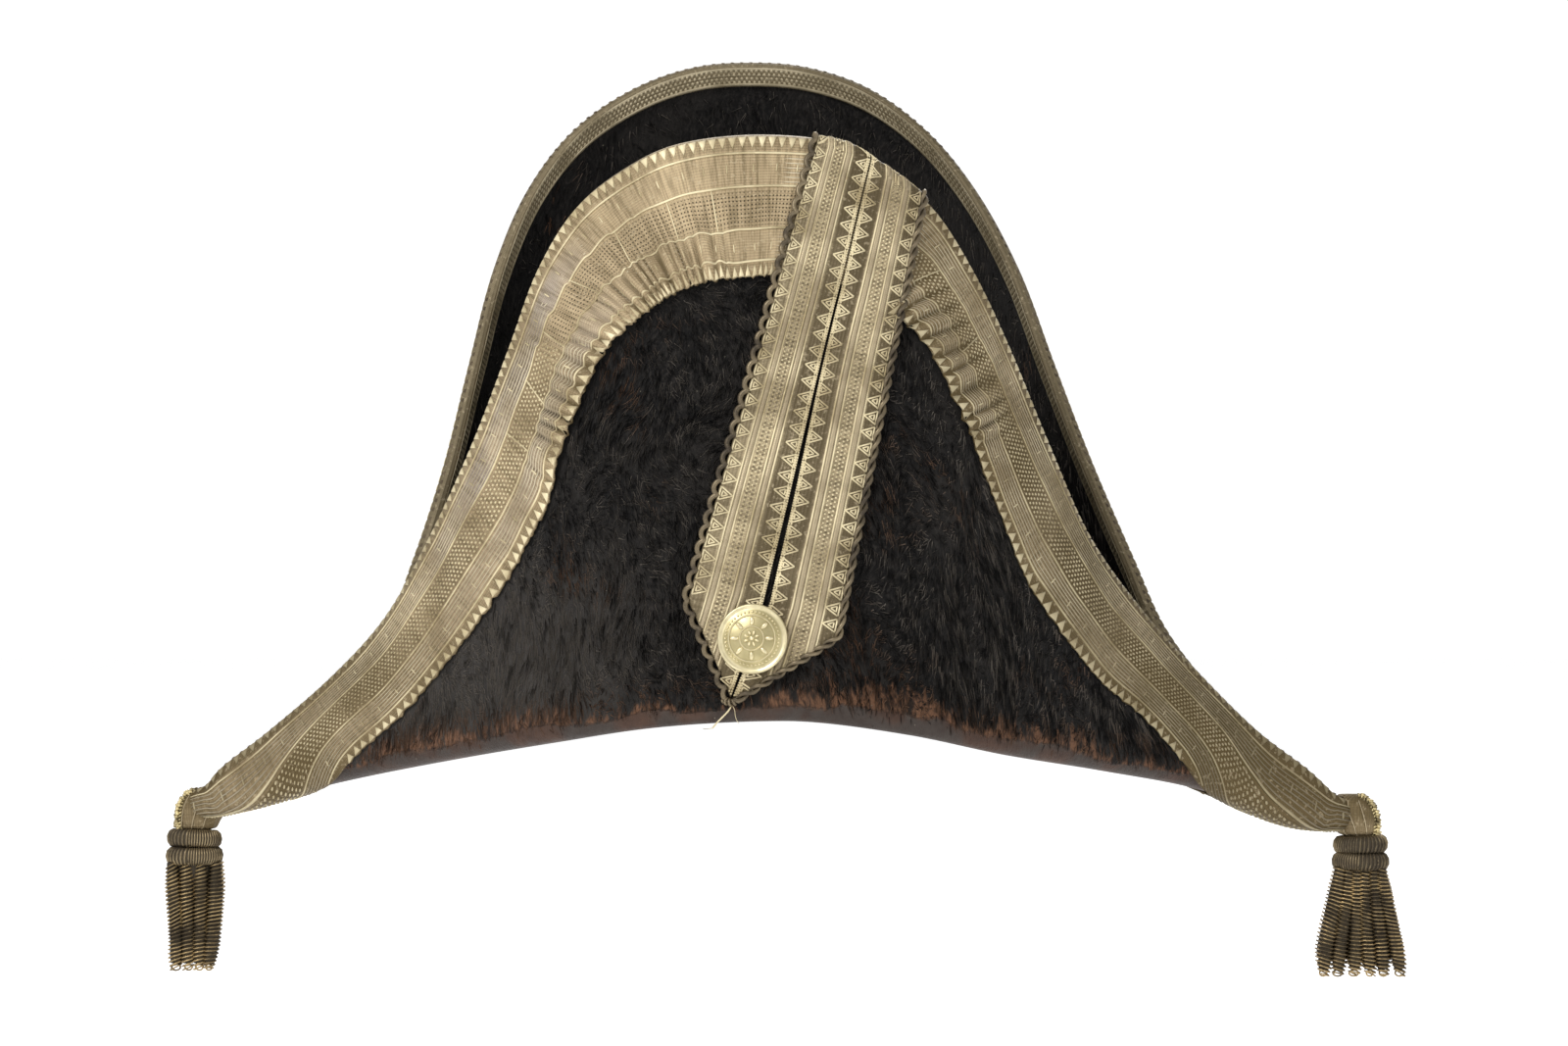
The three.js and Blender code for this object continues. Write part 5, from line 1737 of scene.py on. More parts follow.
    def _shows(self, places: Array, margin: float = 0.0) -> Array:
        """Keep the places that lie before the seam under a horn."""
        part = (places[:, 1] + margin) / self.width * np.interp(places[:, 0], self.along, self.cut)
        inside = (places[:, 0] > 0.5) & (places[:, 0] < self.length - 0.5)
        return places[(part < self.SEEN_SHARE) & inside]

    def _ground(self) -> bpy.types.Object:
        """Lay the woven ground, from under the turned edge to the inner edge."""
        columns = len(self.along) - 1
        wrap = 2 * (self.form.felt / 2 + self.gap + self.thickness / 2)
        low = -(self.turnover + wrap)
        middle = -self.thickness / 2

        def flat(along: Array, across: Array) -> Array:
            """Give the flat place of the grid's vertices."""
            return stacked(along * self.length, low + (self.width - low) * across, middle)

        front = self.face is Face.FRONT
        grid, along, across = laid_grid(
            self.name, columns, self.rows, lambda a, b: self.lay(flat(a, b)), front
        )
        spots = flat(along, across)
        add_map(grid, "flat", spots[:, :2])
        x, y = spots[:, 0], spots[:, 1]
        part = y / self.width
        share = self.share_at(x)
        dotted = within(part, *self.DOTTED)
        open_work = within(share, *self.OPEN_WORK) * front
        add_shade(grid, "pattern", dotted * (0.15 + 0.85 * open_work))
        add_shade(grid, "tone", self._tone(x, part))
        outer = within(part, 0.11, 0.14, 0.34, 0.37) * 0.85
        outer += within(part, 0.66, 0.7, 0.86, 0.9) * 0.35
        shoulder = within(share, -0.72, -0.5, -0.34, -0.2)
        cloud = ripple(spots[:, :2], 22, self.seed + 9)
        add_shade(grid, "silver", outer * shoulder * (0.75 + 0.25 * cloud))
        thicken(grid, self.thickness, 0)
        return grid

    def _tone(self, along: Array, part: Array) -> Array:
        """Give how light the lace is: brightest on the left shoulder, dark on the right limb and in
        the gathers' grooves, both as painted shade.
        """
        share = self.share_at(along)
        # Painted shade: darker towards the right limb, away from the light from the upper left.
        tone = 1.0 - 0.5 * ramp(share, -0.05, 0.22) - 0.4 * ramp(share, 0.3, 0.95)
        tone -= 0.48 * ramp(-share, 0.3, 0.95)
        tone += 0.16 * ripple(stacked(along, part * 30), 40, self.seed + 1)
        # Painted shade in the grooves between the gathers.
        tone -= 1.1 * self._pleats(along, np.clip(part, 0, 1))[1]
        tone -= 0.3 * within(part, 0.37, 0.39, 0.63, 0.65) * ramp(np.abs(share + 0.15), 0.2, 0.3)
        tone -= 0.24 * ramp(np.abs(share), 0.78, 0.95)
        teeth = ramp(-part, -0.1, -0.09) + ramp(part, 0.9, 0.91)
        return np.clip(tone - 0.35 * ramp(-part, 0.0, 0.08) - 0.3 * teeth, 0, 1)

    def _dim(self, piece: bpy.types.Object, flat: Array) -> None:
        """Darken threads with painted shade towards the hat's right and in the grooves of the
        gathers.
        """
        share = self.share_at(flat[:, 0])
        dim = 0.42 * ramp(share, -0.05, 0.2) + 0.3 * ramp(share, 0.4, 0.95)
        dim += 0.32 * ramp(-share, 0.5, 0.95)
        part = np.clip(flat[:, 1] / self.width, 0, 1)
        horn = ramp(
            np.abs(share), 0.55, 0.75
        ) * ramp(-flat[:, 1], -5.4, -5.0) * ramp(flat[:, 1], -1.5, 0.2)
        plain = within(part, 0.13, 0.14, 0.33, 0.34) + within(part, 0.68, 0.69, 0.87, 0.88)
        dim = dim + 0.35 * plain * ramp(np.abs(share), 0.74, 0.93)
        # Painted shade in the gathers' grooves, and darker thread along the turned edge near the
        # horns.
        dim = dim + 0.5 * self._pleats(flat[:, 0], part)[1] + 0.5 * horn
        add_shade(piece, "dim", np.clip(dim, 0, 0.92))

    def _steps(self, pitch: float) -> Array:
        """Give even distances along the whole band, about a pitch apart."""
        return np.linspace(0.6, self.length - 0.6, int(self.length / pitch))

    def _line(self, part: float, radius: float, lift: float) -> tuple[Array, list]:
        """Draw one raised line along the whole band."""
        spots = self._shows(stacked(self._steps(self.LINE_STEP), part * self.width, lift))
        return tube(spots, radius, 5, 0.62)

    def _cream(self) -> Relief:
        """Draw the light raised lines, teeth and cross stitches."""
        relief = Relief()
        random = np.random.default_rng(self.seed)
        for part in self.LINES:
            relief.add(*self._line(part, 0.46, 0.16))
        count = int(self.length / self.tooth_pitch)
        along = (np.arange(count) + 0.5) * self.length / count
        tooth = tooth_motif(self.tooth_pitch * 0.9, 4.7, 0.4)
        outer = stacked(along, -0.5, -0.05)
        relief.copies(tooth, self._shows(outer))
        inner = stacked(along, self.width - 0.1, -0.05)
        inner[:, 0] += random.normal(0, 0.12, count)
        shown = self._shows(inner, -0.8)
        relief.copies(tooth, shown, -np.ones(len(shown)))
        stitch = bar_motif(0.5, 3.2, 0.5)
        spots = np.arange(5, self.length - 4, 9.6)
        spots = spots + random.uniform(-0.8, 0.8, len(spots))
        for part in self.STITCHED:
            places = stacked(spots, part * self.width, 0.1)
            relief.copies(stitch, self._shows(places))
        if self.face is Face.FRONT:
            for share in self.CREASES:
                start = np.interp(share, self.share, self.along)
                across = np.linspace(0.36, 0.65, 9) * self.width
                bent = start + (across - across[0]) * random.uniform(-0.25, 0.25)
                relief.add(*tube(stacked(bent, across, 0.12), 0.3, 5, 0.7))
        return relief

    def _dots(self) -> Relief:
        """Place the knots of the dotted stripe."""
        relief = Relief()
        knot = bead_motif(0.56, 0.5, 0.42)
        low, high = (part * self.width for part in self.DOT_PARTS)
        rows = self.DOT_ROWS
        along = np.arange(1.0, self.length - 1, self.dot_pitch)
        for k in range(rows):
            shift = self.dot_pitch / 2 * (k % 2)
            across = low + (high - low) * k / (rows - 1)
            places = stacked(along + shift, across, 0.08)
            share = self.share_at(places[:, 0])
            open_work = (share > -0.36) & (share < 0.06) & (self.face is Face.FRONT)
            relief.copies(knot, self._shows(places[~open_work]))
        return relief

    def _ribs(self) -> Relief:
        """Draw the fine ribs of the plain stripes."""
        relief = Relief()
        along = self._steps(self.LINE_STEP)
        share = self.share_at(along)
        sunk = within(share, -0.38, -0.3, 0.0, 0.08) * (self.face is Face.FRONT)
        for start, end in self.RIBBED:
            for k in range(self.ribs):
                across = self.width * (start + (end - start) * k / (self.ribs - 1))
                spots = self._shows(stacked(along, across, 0.12 - 0.42 * sunk))
                relief.add(*tube(spots, 0.25, 5, 0.8))
        return relief

    def _binding(self) -> Relief:
        """Draw the turned-over strip inside the flap, with its knots and two thin cords."""
        relief = Relief()
        along = self._steps(1.3)
        for down in (0.4, self.turnover - 0.5):
            spots = stacked(along, -self.wrap - down, 0.15)
            relief.add(*tube(spots, 0.3, 5))
        knot = bead_motif(0.66, 0.55, 0.36)
        rows = np.arange(1.0, self.length - 1, 2.0)
        for k in range(4):
            across = -self.wrap - 0.9 - k * 1.55
            relief.copies(knot, stacked(rows + (k % 2), across, 0.05))
        return relief

    def _picots(self) -> Relief:
        """Place the dark rounded bumps along the turned edge."""
        relief = Relief()
        count = int(self.length / self.tooth_pitch)
        along = (np.arange(count) + 1.0) * self.length / (count + 1)
        share = self.share_at(along)
        front = self.face is Face.FRONT
        along = along[np.abs(share + 0.15) > 0.33] if front else along
        bump = bead_motif(1.15, 1.05, 0.55, 1) if front else bead_motif(0.9, 0.8, 0.25, 1)
        relief.copies(bump, stacked(along, -self.wrap * 0.45, 0.05))
        return relief

    def build(self, dresser: Dresser) -> bpy.types.Object:
        """Build and finish the band.

        Args:
            dresser: what finishes it.

        Returns:
            The woven ground.
        """
        ground = dresser.dress(self._ground(), self.ground, self.slot, self.node)
        made = [
            (self._cream(), "lines", Finish.CREAM),
            (self._dots(), "knots", Finish.CREAM),
            (self._ribs(), "ribs", Finish.RIB),
            (self._binding(), "binding", Finish.MESH),
            (self._picots(), "picots", Finish.DARK_THREAD),
        ]
        for relief, label, finish in made:
            piece = relief.piece(f"{self.name}_{label}", self.lay)
            self._dim(piece, np.vstack(relief.points))
            dresser.dress(piece, finish, self.slot)
        return ground


class LoopSide(Enum):
    """A side line of a strip of the loop: its foot, and the place across of its top."""

    LEFT = "left"
    SLIT = "slit"
    RIGHT = "right"


@dataclass
class LaceLoop:
    """Two strips of narrow lace over the front flap's edge, with a cord on each outer side."""

    form: HatForm
    band: LaceBand
    top: dict[LoopSide, float] = field(
        default_factory=lambda: {LoopSide.LEFT: 12.0, LoopSide.SLIT: 31.0, LoopSide.RIGHT: 49.7}
    )
    left_corner: tuple[float, float] = (-34.4, 43.5)
    right_corner: tuple[float, float] = (18.6, 30.5)
    kink: tuple[float, float] = (-6.0, 43.0)
    point: tuple[float, float] = (-18.6, 8.5)
    slit: float = 1.5
    gap: float = 0.6
    thickness: float = 0.8
    turnover: float = 7.0
    nominal: float = 20.0
    columns: int = 26
    row: float = 1.1
    tooth_pitch: float = 5.9
    cord: float = 1.15
    wave: float = 2.1
    wave_pitch: float = 5.7
    twist: float = 10.6

    RIBS = (0.29, 0.625)
    LINES = (0.238, 0.342, 0.566, 0.682)
    TEETH = (0.03, 0.965)
    KNOT = ((-2.6, -0.6, 1.2), (-0.9, -1.6, 2.0), (0.9, -1.6, 2.0), (2.6, -0.4, 1.2))
    LOOSE_ENDS = ((-7.0, -5.6, 0.3), (-9.5, -6.4, 0.12), (3.0, -4.4, 0.12))
    CORD_LIFT = 1.3

    def __post_init__(self) -> None:
        """Draw the strips' side lines in the front view."""
        tops = {side: self._edge_spot(x) for side, x in self.top.items()}
        kink = np.array(self.kink)
        point = np.array(self.point)
        opened = {}
        for hand in Hand:
            aside = np.array([hand.value * self.slit / 2, 0.0])
            middle = (tops[LoopSide.SLIT] + kink) / 2 + aside * 0.7
            opened[hand] = np.array([
                tops[LoopSide.SLIT] + aside * 0.4, middle, kink + aside * 1.6, point + aside * 0.5
            ])
        left = np.array([tops[LoopSide.LEFT], self.left_corner])
        right = np.array([tops[LoopSide.RIGHT], self.right_corner])
        self.sides = {Hand.LEFT: (left, opened[Hand.LEFT]), Hand.RIGHT: (opened[Hand.RIGHT], right)}
        slit_way = unit(kink - tops[LoopSide.SLIT])
        outer = {Hand.LEFT: left, Hand.RIGHT: right}
        self.ways = {hand: unit(unit(line[1] - line[0]) + slit_way) for hand, line in outer.items()}

    def _edge_spot(self, x: float) -> Array:
        """Give the place across and level of the flap's edge."""
        stations = self.band.stations
        edge = self.form.edge[stations]
        return np.array([x, np.interp(x, edge[:, 0], edge[:, 2])])

    def _run(self, hand: Hand, which: int) -> tuple[Array, Array]:
        """Give a side line's corners, longer at its foot, and their distances along the strip."""
        line = self.sides[hand][which]
        ahead = line[-1] + unit(line[-1] - line[-2]) * 60
        line = np.vstack([line, ahead])
        return line, (line - self.sides[Hand.LEFT][0][0]) @ self.ways[hand]

    def _spot(self, hand: Hand, along: Array, share: Array) -> Array:
        """Give places across and levels for distances along a strip and shares across it."""
        spots = []
        for which in (0, 1):
            line, run = self._run(hand, which)
            spots.append(
                stacked(np.interp(along, run, line[:, 0]), np.interp(along, run, line[:, 1]))
            )
        return spots[0] * (1 - share[:, None]) + spots[1] * share[:, None]

    def ends(self, hand: Hand, share: Array) -> tuple[Array, Array]:
        """Give the distances along a strip of the flap's edge and of the mitred foot."""
        starts, feet = [], []
        for which in (0, 1):
            run = self._run(hand, which)[1]
            starts.append(run[0])
            feet.append(run[-2])
        start = starts[0] + (starts[1] - starts[0]) * share
        return start, feet[0] + (feet[1] - feet[0]) * share

    def base(self, station: Array, inwards: Array) -> Array:
        """Give the lift of what lies under the loop: the lace, then the felt."""
        inside = self.band.inside(station, inwards)
        on_felt = self.gap
        on_band = on_felt + self.band.thickness + self.band.gap
        return on_band + (on_felt - on_band) * np.clip((inside - 2) / 14, 0, 1)

    def on_flap(self, x: Array, z: Array, high: Array) -> Array:
        """Place points of the front view on what lies under the loop."""
        station, inwards = self.form.locate(x, z)
        return self.form.place(station, inwards, self.base(station, inwards) + high)

    def lay(self, hand: Hand) -> Lay:
        """Give the function that lays one flat strip.

        Args:
            hand: the strip.

        Returns:
            A function from along, across and height to places in millimetres.
        """

        def laid(flat: Array) -> Array:
            """Lay points of the flat strip."""
            share = np.clip(flat[:, 1] / self.nominal, -0.1, 1.1)
            start, _ = self.ends(hand, share)
            along = np.maximum(flat[:, 0], start)
            spot = self._spot(hand, along, share)
            station, inwards = self.form.locate(spot[:, 0], spot[:, 1])
            over = flat[:, 0] - start
            inwards = np.where(over < 0, over, inwards)
            swell = 0.3 * np.sin(
                math.pi * np.clip(share, 0, 1)
            ) + 0.15 * ripple(flat[:, :2], 30, 71)
            lift = self.base(station, np.maximum(inwards, 0)) + flat[:, 2] + np.maximum(swell, 0)
            return self.form.place(station, inwards, lift)

        return laid

    def _ground(self, hand: Hand) -> bpy.types.Object:
        """Lay one strip's woven ground."""
        start, foot = self.ends(hand, np.linspace(0, 1, 5))
        rows = int((foot.max() - start.min() + self.turnover) / self.row)
        under = self.form.felt / 2 + self.band.thickness + self.band.gap
        wrap = 2 * (under + self.gap + self.thickness / 2)

        def flat(along: Array, across: Array) -> Array:
            """Give the flat place of the grid's vertices."""
            first, last = self.ends(hand, across)
            low = first - wrap - self.turnover
            return stacked(low + (last - low) * along, across * self.nominal, self.thickness / 2)

        lay = self.lay(hand)
        name = f"loop_strip_{hand.name.lower()}_cloth"
        grid, along, across = laid_grid(
            name, rows, self.columns, lambda a, b: lay(flat(a, b)), True
        )
        spots = flat(along, across)
        add_map(grid, "flat", spots[:, :2])
        part = across if hand is Hand.LEFT else 1 - across
        dotted = within(part, 0.35, 0.37, 0.53, 0.55)
        add_shade(grid, "pattern", dotted * 0.6)
        dark = ramp(part, 0.7, 0.72) + ramp(-part, -0.22, -0.2) * (
            0.6 if hand is Hand.LEFT else 1.0
        )
        add_shade(
            grid, "tone", np.clip(0.95 - 0.92 * dark + 0.1 * ripple(spots[:, :2], 30, 72), 0, 1)
        )
        thicken(grid, self.thickness, 0)
        return grid

    def _shown(self, hand: Hand, places: Array, margin: float = 0.6) -> Array:
        """Keep the places between the turned end and the mitre."""
        start, foot = self.ends(hand, places[:, 1] / self.nominal)
        return places[(places[:, 0] > start - 8) & (places[:, 0] < foot - margin)]

    def _line(
        self, hand: Hand, share: float, radius: float, lift: float, flat: float = 0.6
    ) -> tuple:
        """Draw one raised line along a strip."""
        start, foot = self.ends(hand, np.array([share]))
        along = np.arange(start[0] - 9, foot[0] - 0.3, 1.0)
        spots = stacked(along, share * self.nominal, lift)
        return tube(spots, radius, 6, flat)

    def _outlined_tooth(self) -> Motif:
        """Draw a triangle of raised threads with a smaller one inside, its base at across = 0."""
        relief = Relief()
        base, high = self.tooth_pitch * 0.84, 3.9
        corners = np.array([(-base / 2, 0.0), (base / 2, 0.0), (0.0, high)])
        middle = corners.mean(0)
        for size, radius in ((1.0, 0.3), (0.42, 0.26)):
            for k in range(3):
                a = middle + (corners[k] - middle) * size
                b = middle + (corners[(k + 1) % 3] - middle) * size
                steps = np.linspace(0, 1, 3)[:, None]
                line = np.hstack([a + (b - a) * steps, np.full((3, 1), 0.12)])
                relief.add(*tube(line, radius, 5, 0.8))
        return Motif(np.vstack(relief.points), tuple(relief.faces))

    def _cream(self, hand: Hand) -> Relief:
        """Draw one strip's lines and outlined triangles."""
        relief = Relief()
        mirror = (lambda s: s) if hand is Hand.LEFT else (lambda s: 1 - s)
        for share in self.LINES:
            relief.add(*self._line(hand, mirror(share), 0.3, 0.9, 0.8))
        start, foot = self.ends(hand, np.linspace(0, 1, 5))
        along = np.arange(start.min() - 7, foot.max(), self.tooth_pitch)
        tooth = self._outlined_tooth()
        for share in self.TEETH:
            places = stacked(along, share * self.nominal, 0.82)
            shown = self._shown(hand, places, 2.2)
            relief.copies(tooth, shown, np.full(len(shown), 1.0 if share < 0.5 else -1.0))
        knot = bead_motif(0.42, 0.36, 0.34)
        for row in range(3):
            share = mirror(0.4 + 0.054 * row)
            rows = np.arange(start.min() - 7, foot.max(), 1.65) + 0.8 * (row % 2)
            places = stacked(rows, share * self.nominal, 0.92)
            relief.copies(knot, self._shown(hand, places))
        slit = 1.0 if hand is Hand.LEFT else 0.0
        edge = bead_motif(0.5, 0.34, 0.4)
        rows = np.arange(start.min() - 7, foot.max(), 0.95)
        for aside in (0.25, 0.95):
            across = slit * self.nominal - (aside if slit else -aside)
            places = stacked(rows, across, 0.9)
            relief.copies(edge, self._shown(hand, places))
        return relief

    def _satin(self, hand: Hand) -> Relief:
        """Draw one strip's two rounded ribs, wound across with fine thread."""
        relief = Relief()
        for share in self.RIBS:
            part = share if hand is Hand.LEFT else 1 - share
            relief.add(*self._line(hand, part, 0.86, 0.72, 0.62))
            start, foot = self.ends(hand, np.array([part]))
            rows = np.arange(start[0] - 7, foot[0] - 0.5, 0.75)
            wind = rod_motif(0.32, 1.7, 0.3)
            places = stacked(rows, part * self.nominal, 1.15)
            relief.copies(wind, places)
        return relief

    def _cord_path(self, hand: Hand) -> Array:
        """Give the line of one cord: over the edge, down its strip's side and along the mitre."""
        start, corner = self.sides[hand][0 if hand is Hand.LEFT else 1][:2]
        way = unit(corner - start)
        outwards = np.array([-way[1], way[0]])
        outwards = outwards if outwards[0] * hand.value > 0 else -outwards
        aside = 0.45 if hand is Hand.LEFT else 0.55
        foot = np.array([self.point[0] + hand.value * 0.4, self.point[1] - 1.7])
        bend = corner + outwards * aside
        down = unit(foot - bend)
        apart = np.array([-down[1], down[0]])
        apart = apart if apart[1] < 0 else -apart
        line = np.vstack([
            self._scalloped(start + outwards * aside, bend, outwards, hand),
            self._scalloped(bend, foot, apart, hand)[2:],
        ])
        soft = blurred_columns(line, 0.7)
        on_flap = self.on_flap(soft[:, 0], soft[:, 1], np.full(len(soft), self.CORD_LIFT))
        return np.vstack([self._over_edge(start + outwards * aside), on_flap[3:]])

    def _scalloped(self, start: Array, end: Array, outwards: Array, hand: Hand) -> Array:
        """Swing a straight run of cord into scallops, deep on the left and faint on the right."""
        length = np.linalg.norm(end - start)
        count = max(round(length / self.wave_pitch), 1)
        wave = self.wave if hand is Hand.LEFT else 0.2
        steps = np.linspace(0, 1, int(length / (0.42 if hand is Hand.LEFT else 0.6)))
        turn = TAU * count * steps
        loop = 0.94 * length / count / TAU if hand is Hand.LEFT else 0.0
        along = (length * steps - loop * np.sin(turn))[:, None]
        out = ((1 - np.cos(turn)) / 2 * wave - 0.3 * wave)[:, None]
        return start + unit(end - start) * along + outwards * out

    def _over_edge(self, spot: Array) -> Array:
        """Give the part of a cord that turns over the flap's edge."""
        stations = self.band.stations
        station = np.interp(spot[0], self.form.edge[stations, 0], stations)
        inwards = np.linspace(-12.5, 0, 22)
        places = np.full_like(inwards, station)
        lift = self.base(places, inwards * 0) + self.CORD_LIFT
        return self.form.place(places, inwards, lift)

    def _cord(self, hand: Hand) -> Relief:
        """Draw one cord: wound round a core on the left, twisted from two plies on the right."""
        relief = Relief()
        path = self._cord_path(hand)
        path = blurred_columns(path, 0.8)
        if hand is Hand.LEFT:
            relief.add(*tube(path, 0.98, 8))
            relief.add(*coil(path, 0.95, 0.95, 0.2, 6, 3))
            x, z, high = np.array(self.KNOT).T
            knot = self.on_flap(x + self.point[0], z + self.point[1], high)
            relief.add(*coil(smooth_line(knot, 8)[0], 0.95, 1.35, 0.55, 12, 6))
            return relief
        for strand in range(2):
            relief.add(
                *coil(path, self.cord * 0.76, self.twist, self.cord * 0.68, 22, 8, strand * math.pi)
            )
        return relief

    def _loose_end(self) -> Relief:
        """Draw the frayed thread at the loop's point."""
        relief = Relief()
        x, z = self.point
        for across, down, radius in self.LOOSE_ENDS:
            t = np.linspace(0, 1, 12)
            spots_x = x + across * t * (0.45 + 0.55 * t) + np.sin(t * 5) * 0.6
            spots_z = z - 2.5 + down * t
            high = 1.2 + 1.4 * np.sin(t * math.pi)
            relief.add(*tube(self.on_flap(spots_x, spots_z, high), radius, 5))
        return relief

    def build(self, dresser: Dresser) -> None:
        """Build and finish the loop.

        Args:
            dresser: what finishes it.
        """
        for hand in Hand:
            side = hand.name.lower()
            lay = self.lay(hand)
            ground = dresser.dress(
                self._ground(hand), Finish.LOOP_LACE, "lace", f"loop_strip_{side}"
            )
            cream = dresser.dress(
                self._cream(hand).piece(f"loop_{side}_pattern", lay), Finish.CREAM, "lace"
            )
            satin = dresser.dress(
                self._satin(hand).piece(f"loop_{side}_ribs", lay), Finish.SATIN, "lace"
            )
            start, foot = self.ends(hand, np.array([0.5]))
            cord = self._cord(hand).piece(f"loop_cord_{side}_strands")
            dresser.dress(cord, Finish.CORD, "cord", f"loop_cord_{side}")
        dresser.dress(self._loose_end().piece("loop_loose_thread"), Finish.CREAM, "cord")


@dataclass
class Button:
    """A plain domed brass button with a rim, a ring of beads and a rosette."""

    loop: LaceLoop
    place: tuple[float, float] = (-10.9, 29.5)
    radius: float = 12.8
    rise: float = 4.6
    beads: int = 44
    petals: int = 8
    seat_height: float = 1.8

    PROFILE = (
        (0.0, 0.0), (0.84, 0.0), (0.96, 0.12), (1.0, 0.3), (0.995, 0.46), (0.97, 0.56),
        (0.935, 0.58), (0.9, 0.52), (0.87, 0.5), (0.82, 0.56), (0.66, 0.72), (0.46, 0.86),
        (0.24, 0.94), (0.0, 0.96),
    )

    def _dome(self) -> bpy.types.Object:
        """Spin the button's profile round its middle."""
        bpy.ops.object.select_all(action="DESELECT")
        bpy.ops.mesh.primitive_circle_add(vertices=len(self.PROFILE), radius=1, fill_type="NOTHING")
        dome = bpy.context.object
        for vertex, (out, up) in zip(dome.data.vertices, self.PROFILE):
            vertex.co = (out * self.radius, 0, up * self.rise)
        bpy.ops.object.mode_set(mode="EDIT")
        bpy.ops.mesh.select_all(action="SELECT")
        bpy.ops.mesh.spin(steps=96, angle=TAU, center=(0, 0, 0), axis=(0, 0, 1))
        bpy.ops.mesh.select_all(action="SELECT")
        bpy.ops.mesh.remove_doubles(threshold=0.02)
        bpy.ops.mesh.normals_make_consistent(inside=False)
        bpy.ops.object.mode_set(mode="OBJECT")
        return dome

    def _level(self, out: float) -> float:
        """Give the height just above the dome at a distance from its middle."""
        shares, heights = zip(*self.PROFILE[:7:-1])
        return np.interp(out / self.radius, shares, heights) * self.rise + 0.12

    def _ornament(self) -> Relief:
        """Draw the beads, the thin rings and the rosette."""
        relief = Relief()
        bead = bead_motif(0.42, 0.42, 0.5, 2)
        angles = np.arange(self.beads) * TAU / self.beads
        ring = self.radius * 0.76
        spots = stacked(ring * np.cos(angles), ring * np.sin(angles), self._level(ring))
        relief.copies(bead, spots)
        turn = np.linspace(0, TAU, 97)
        for share in (0.66, 0.34):
            out = share * self.radius
            level = self._level(out)
            relief.add(*tube(stacked(out * np.cos(turn), out * np.sin(turn), level), 0.3, 6))
        for k in range(self.petals):
            for share, long, wide in ((0.49, 1.75, 0.85), (0.17, 0.9, 0.5)):
                petal = bead_motif(long, wide, 0.75, 2)
                angle = (k + (0.5 if share < 0.3 else 0)) * TAU / self.petals
                cos, sin = math.cos(angle), math.sin(angle)
                x, y = petal.points[:, 0], petal.points[:, 1]
                out = share * self.radius
                level = self._level(out) + petal.points[:, 2]
                points = stacked(cos * (x + out) - sin * y, sin * (x + out) + cos * y, level)
                relief.add(points, petal.faces)
        boss = bead_motif(0.8, 0.8, 0.6, 3)
        relief.add(boss.points + (0, 0, self.rise * 0.95), boss.faces)
        return relief

    def build(self, dresser: Dresser) -> None:
        """Build and finish the button.

        Args:
            dresser: what finishes it.
        """
        x, z = (np.array([value]) for value in self.place)
        seat = self.loop.on_flap(x, z, np.array([self.seat_height]))[0]
        over = self.loop.on_flap(x, z, np.array([20.0]))[0]
        normal = unit(over - seat)
        side = unit(np.cross((0, 0, 1), normal))
        up = np.cross(normal, side)
        dome = self._dome()
        outs = np.array([math.hypot(v.co.x, v.co.y) for v in dome.data.vertices])
        # Painted light and shade: the rim and ornament are marked raised to take the light brass,
        # the field the darker.
        add_shade(dome, "raised", (outs > self.radius * 0.86).astype(float))
        ornament = self._ornament().piece("button_ornament")
        add_shade(ornament, "raised", np.ones(len(ornament.data.vertices)))
        for vertex in ornament.data.vertices:
            vertex.co = vertex.co / METRES
        made = joined("button_face", [dome, ornament])
        for vertex in made.data.vertices:
            local = np.array(vertex.co)
            vertex.co = (seat + side * local[0] + up * local[1] + normal * local[2]) * METRES
        made.data.update()
        bpy.ops.object.shade_smooth_by_angle(angle=math.radians(50))
        dresser.dress(made, Finish.BRASS, "brass", "button")


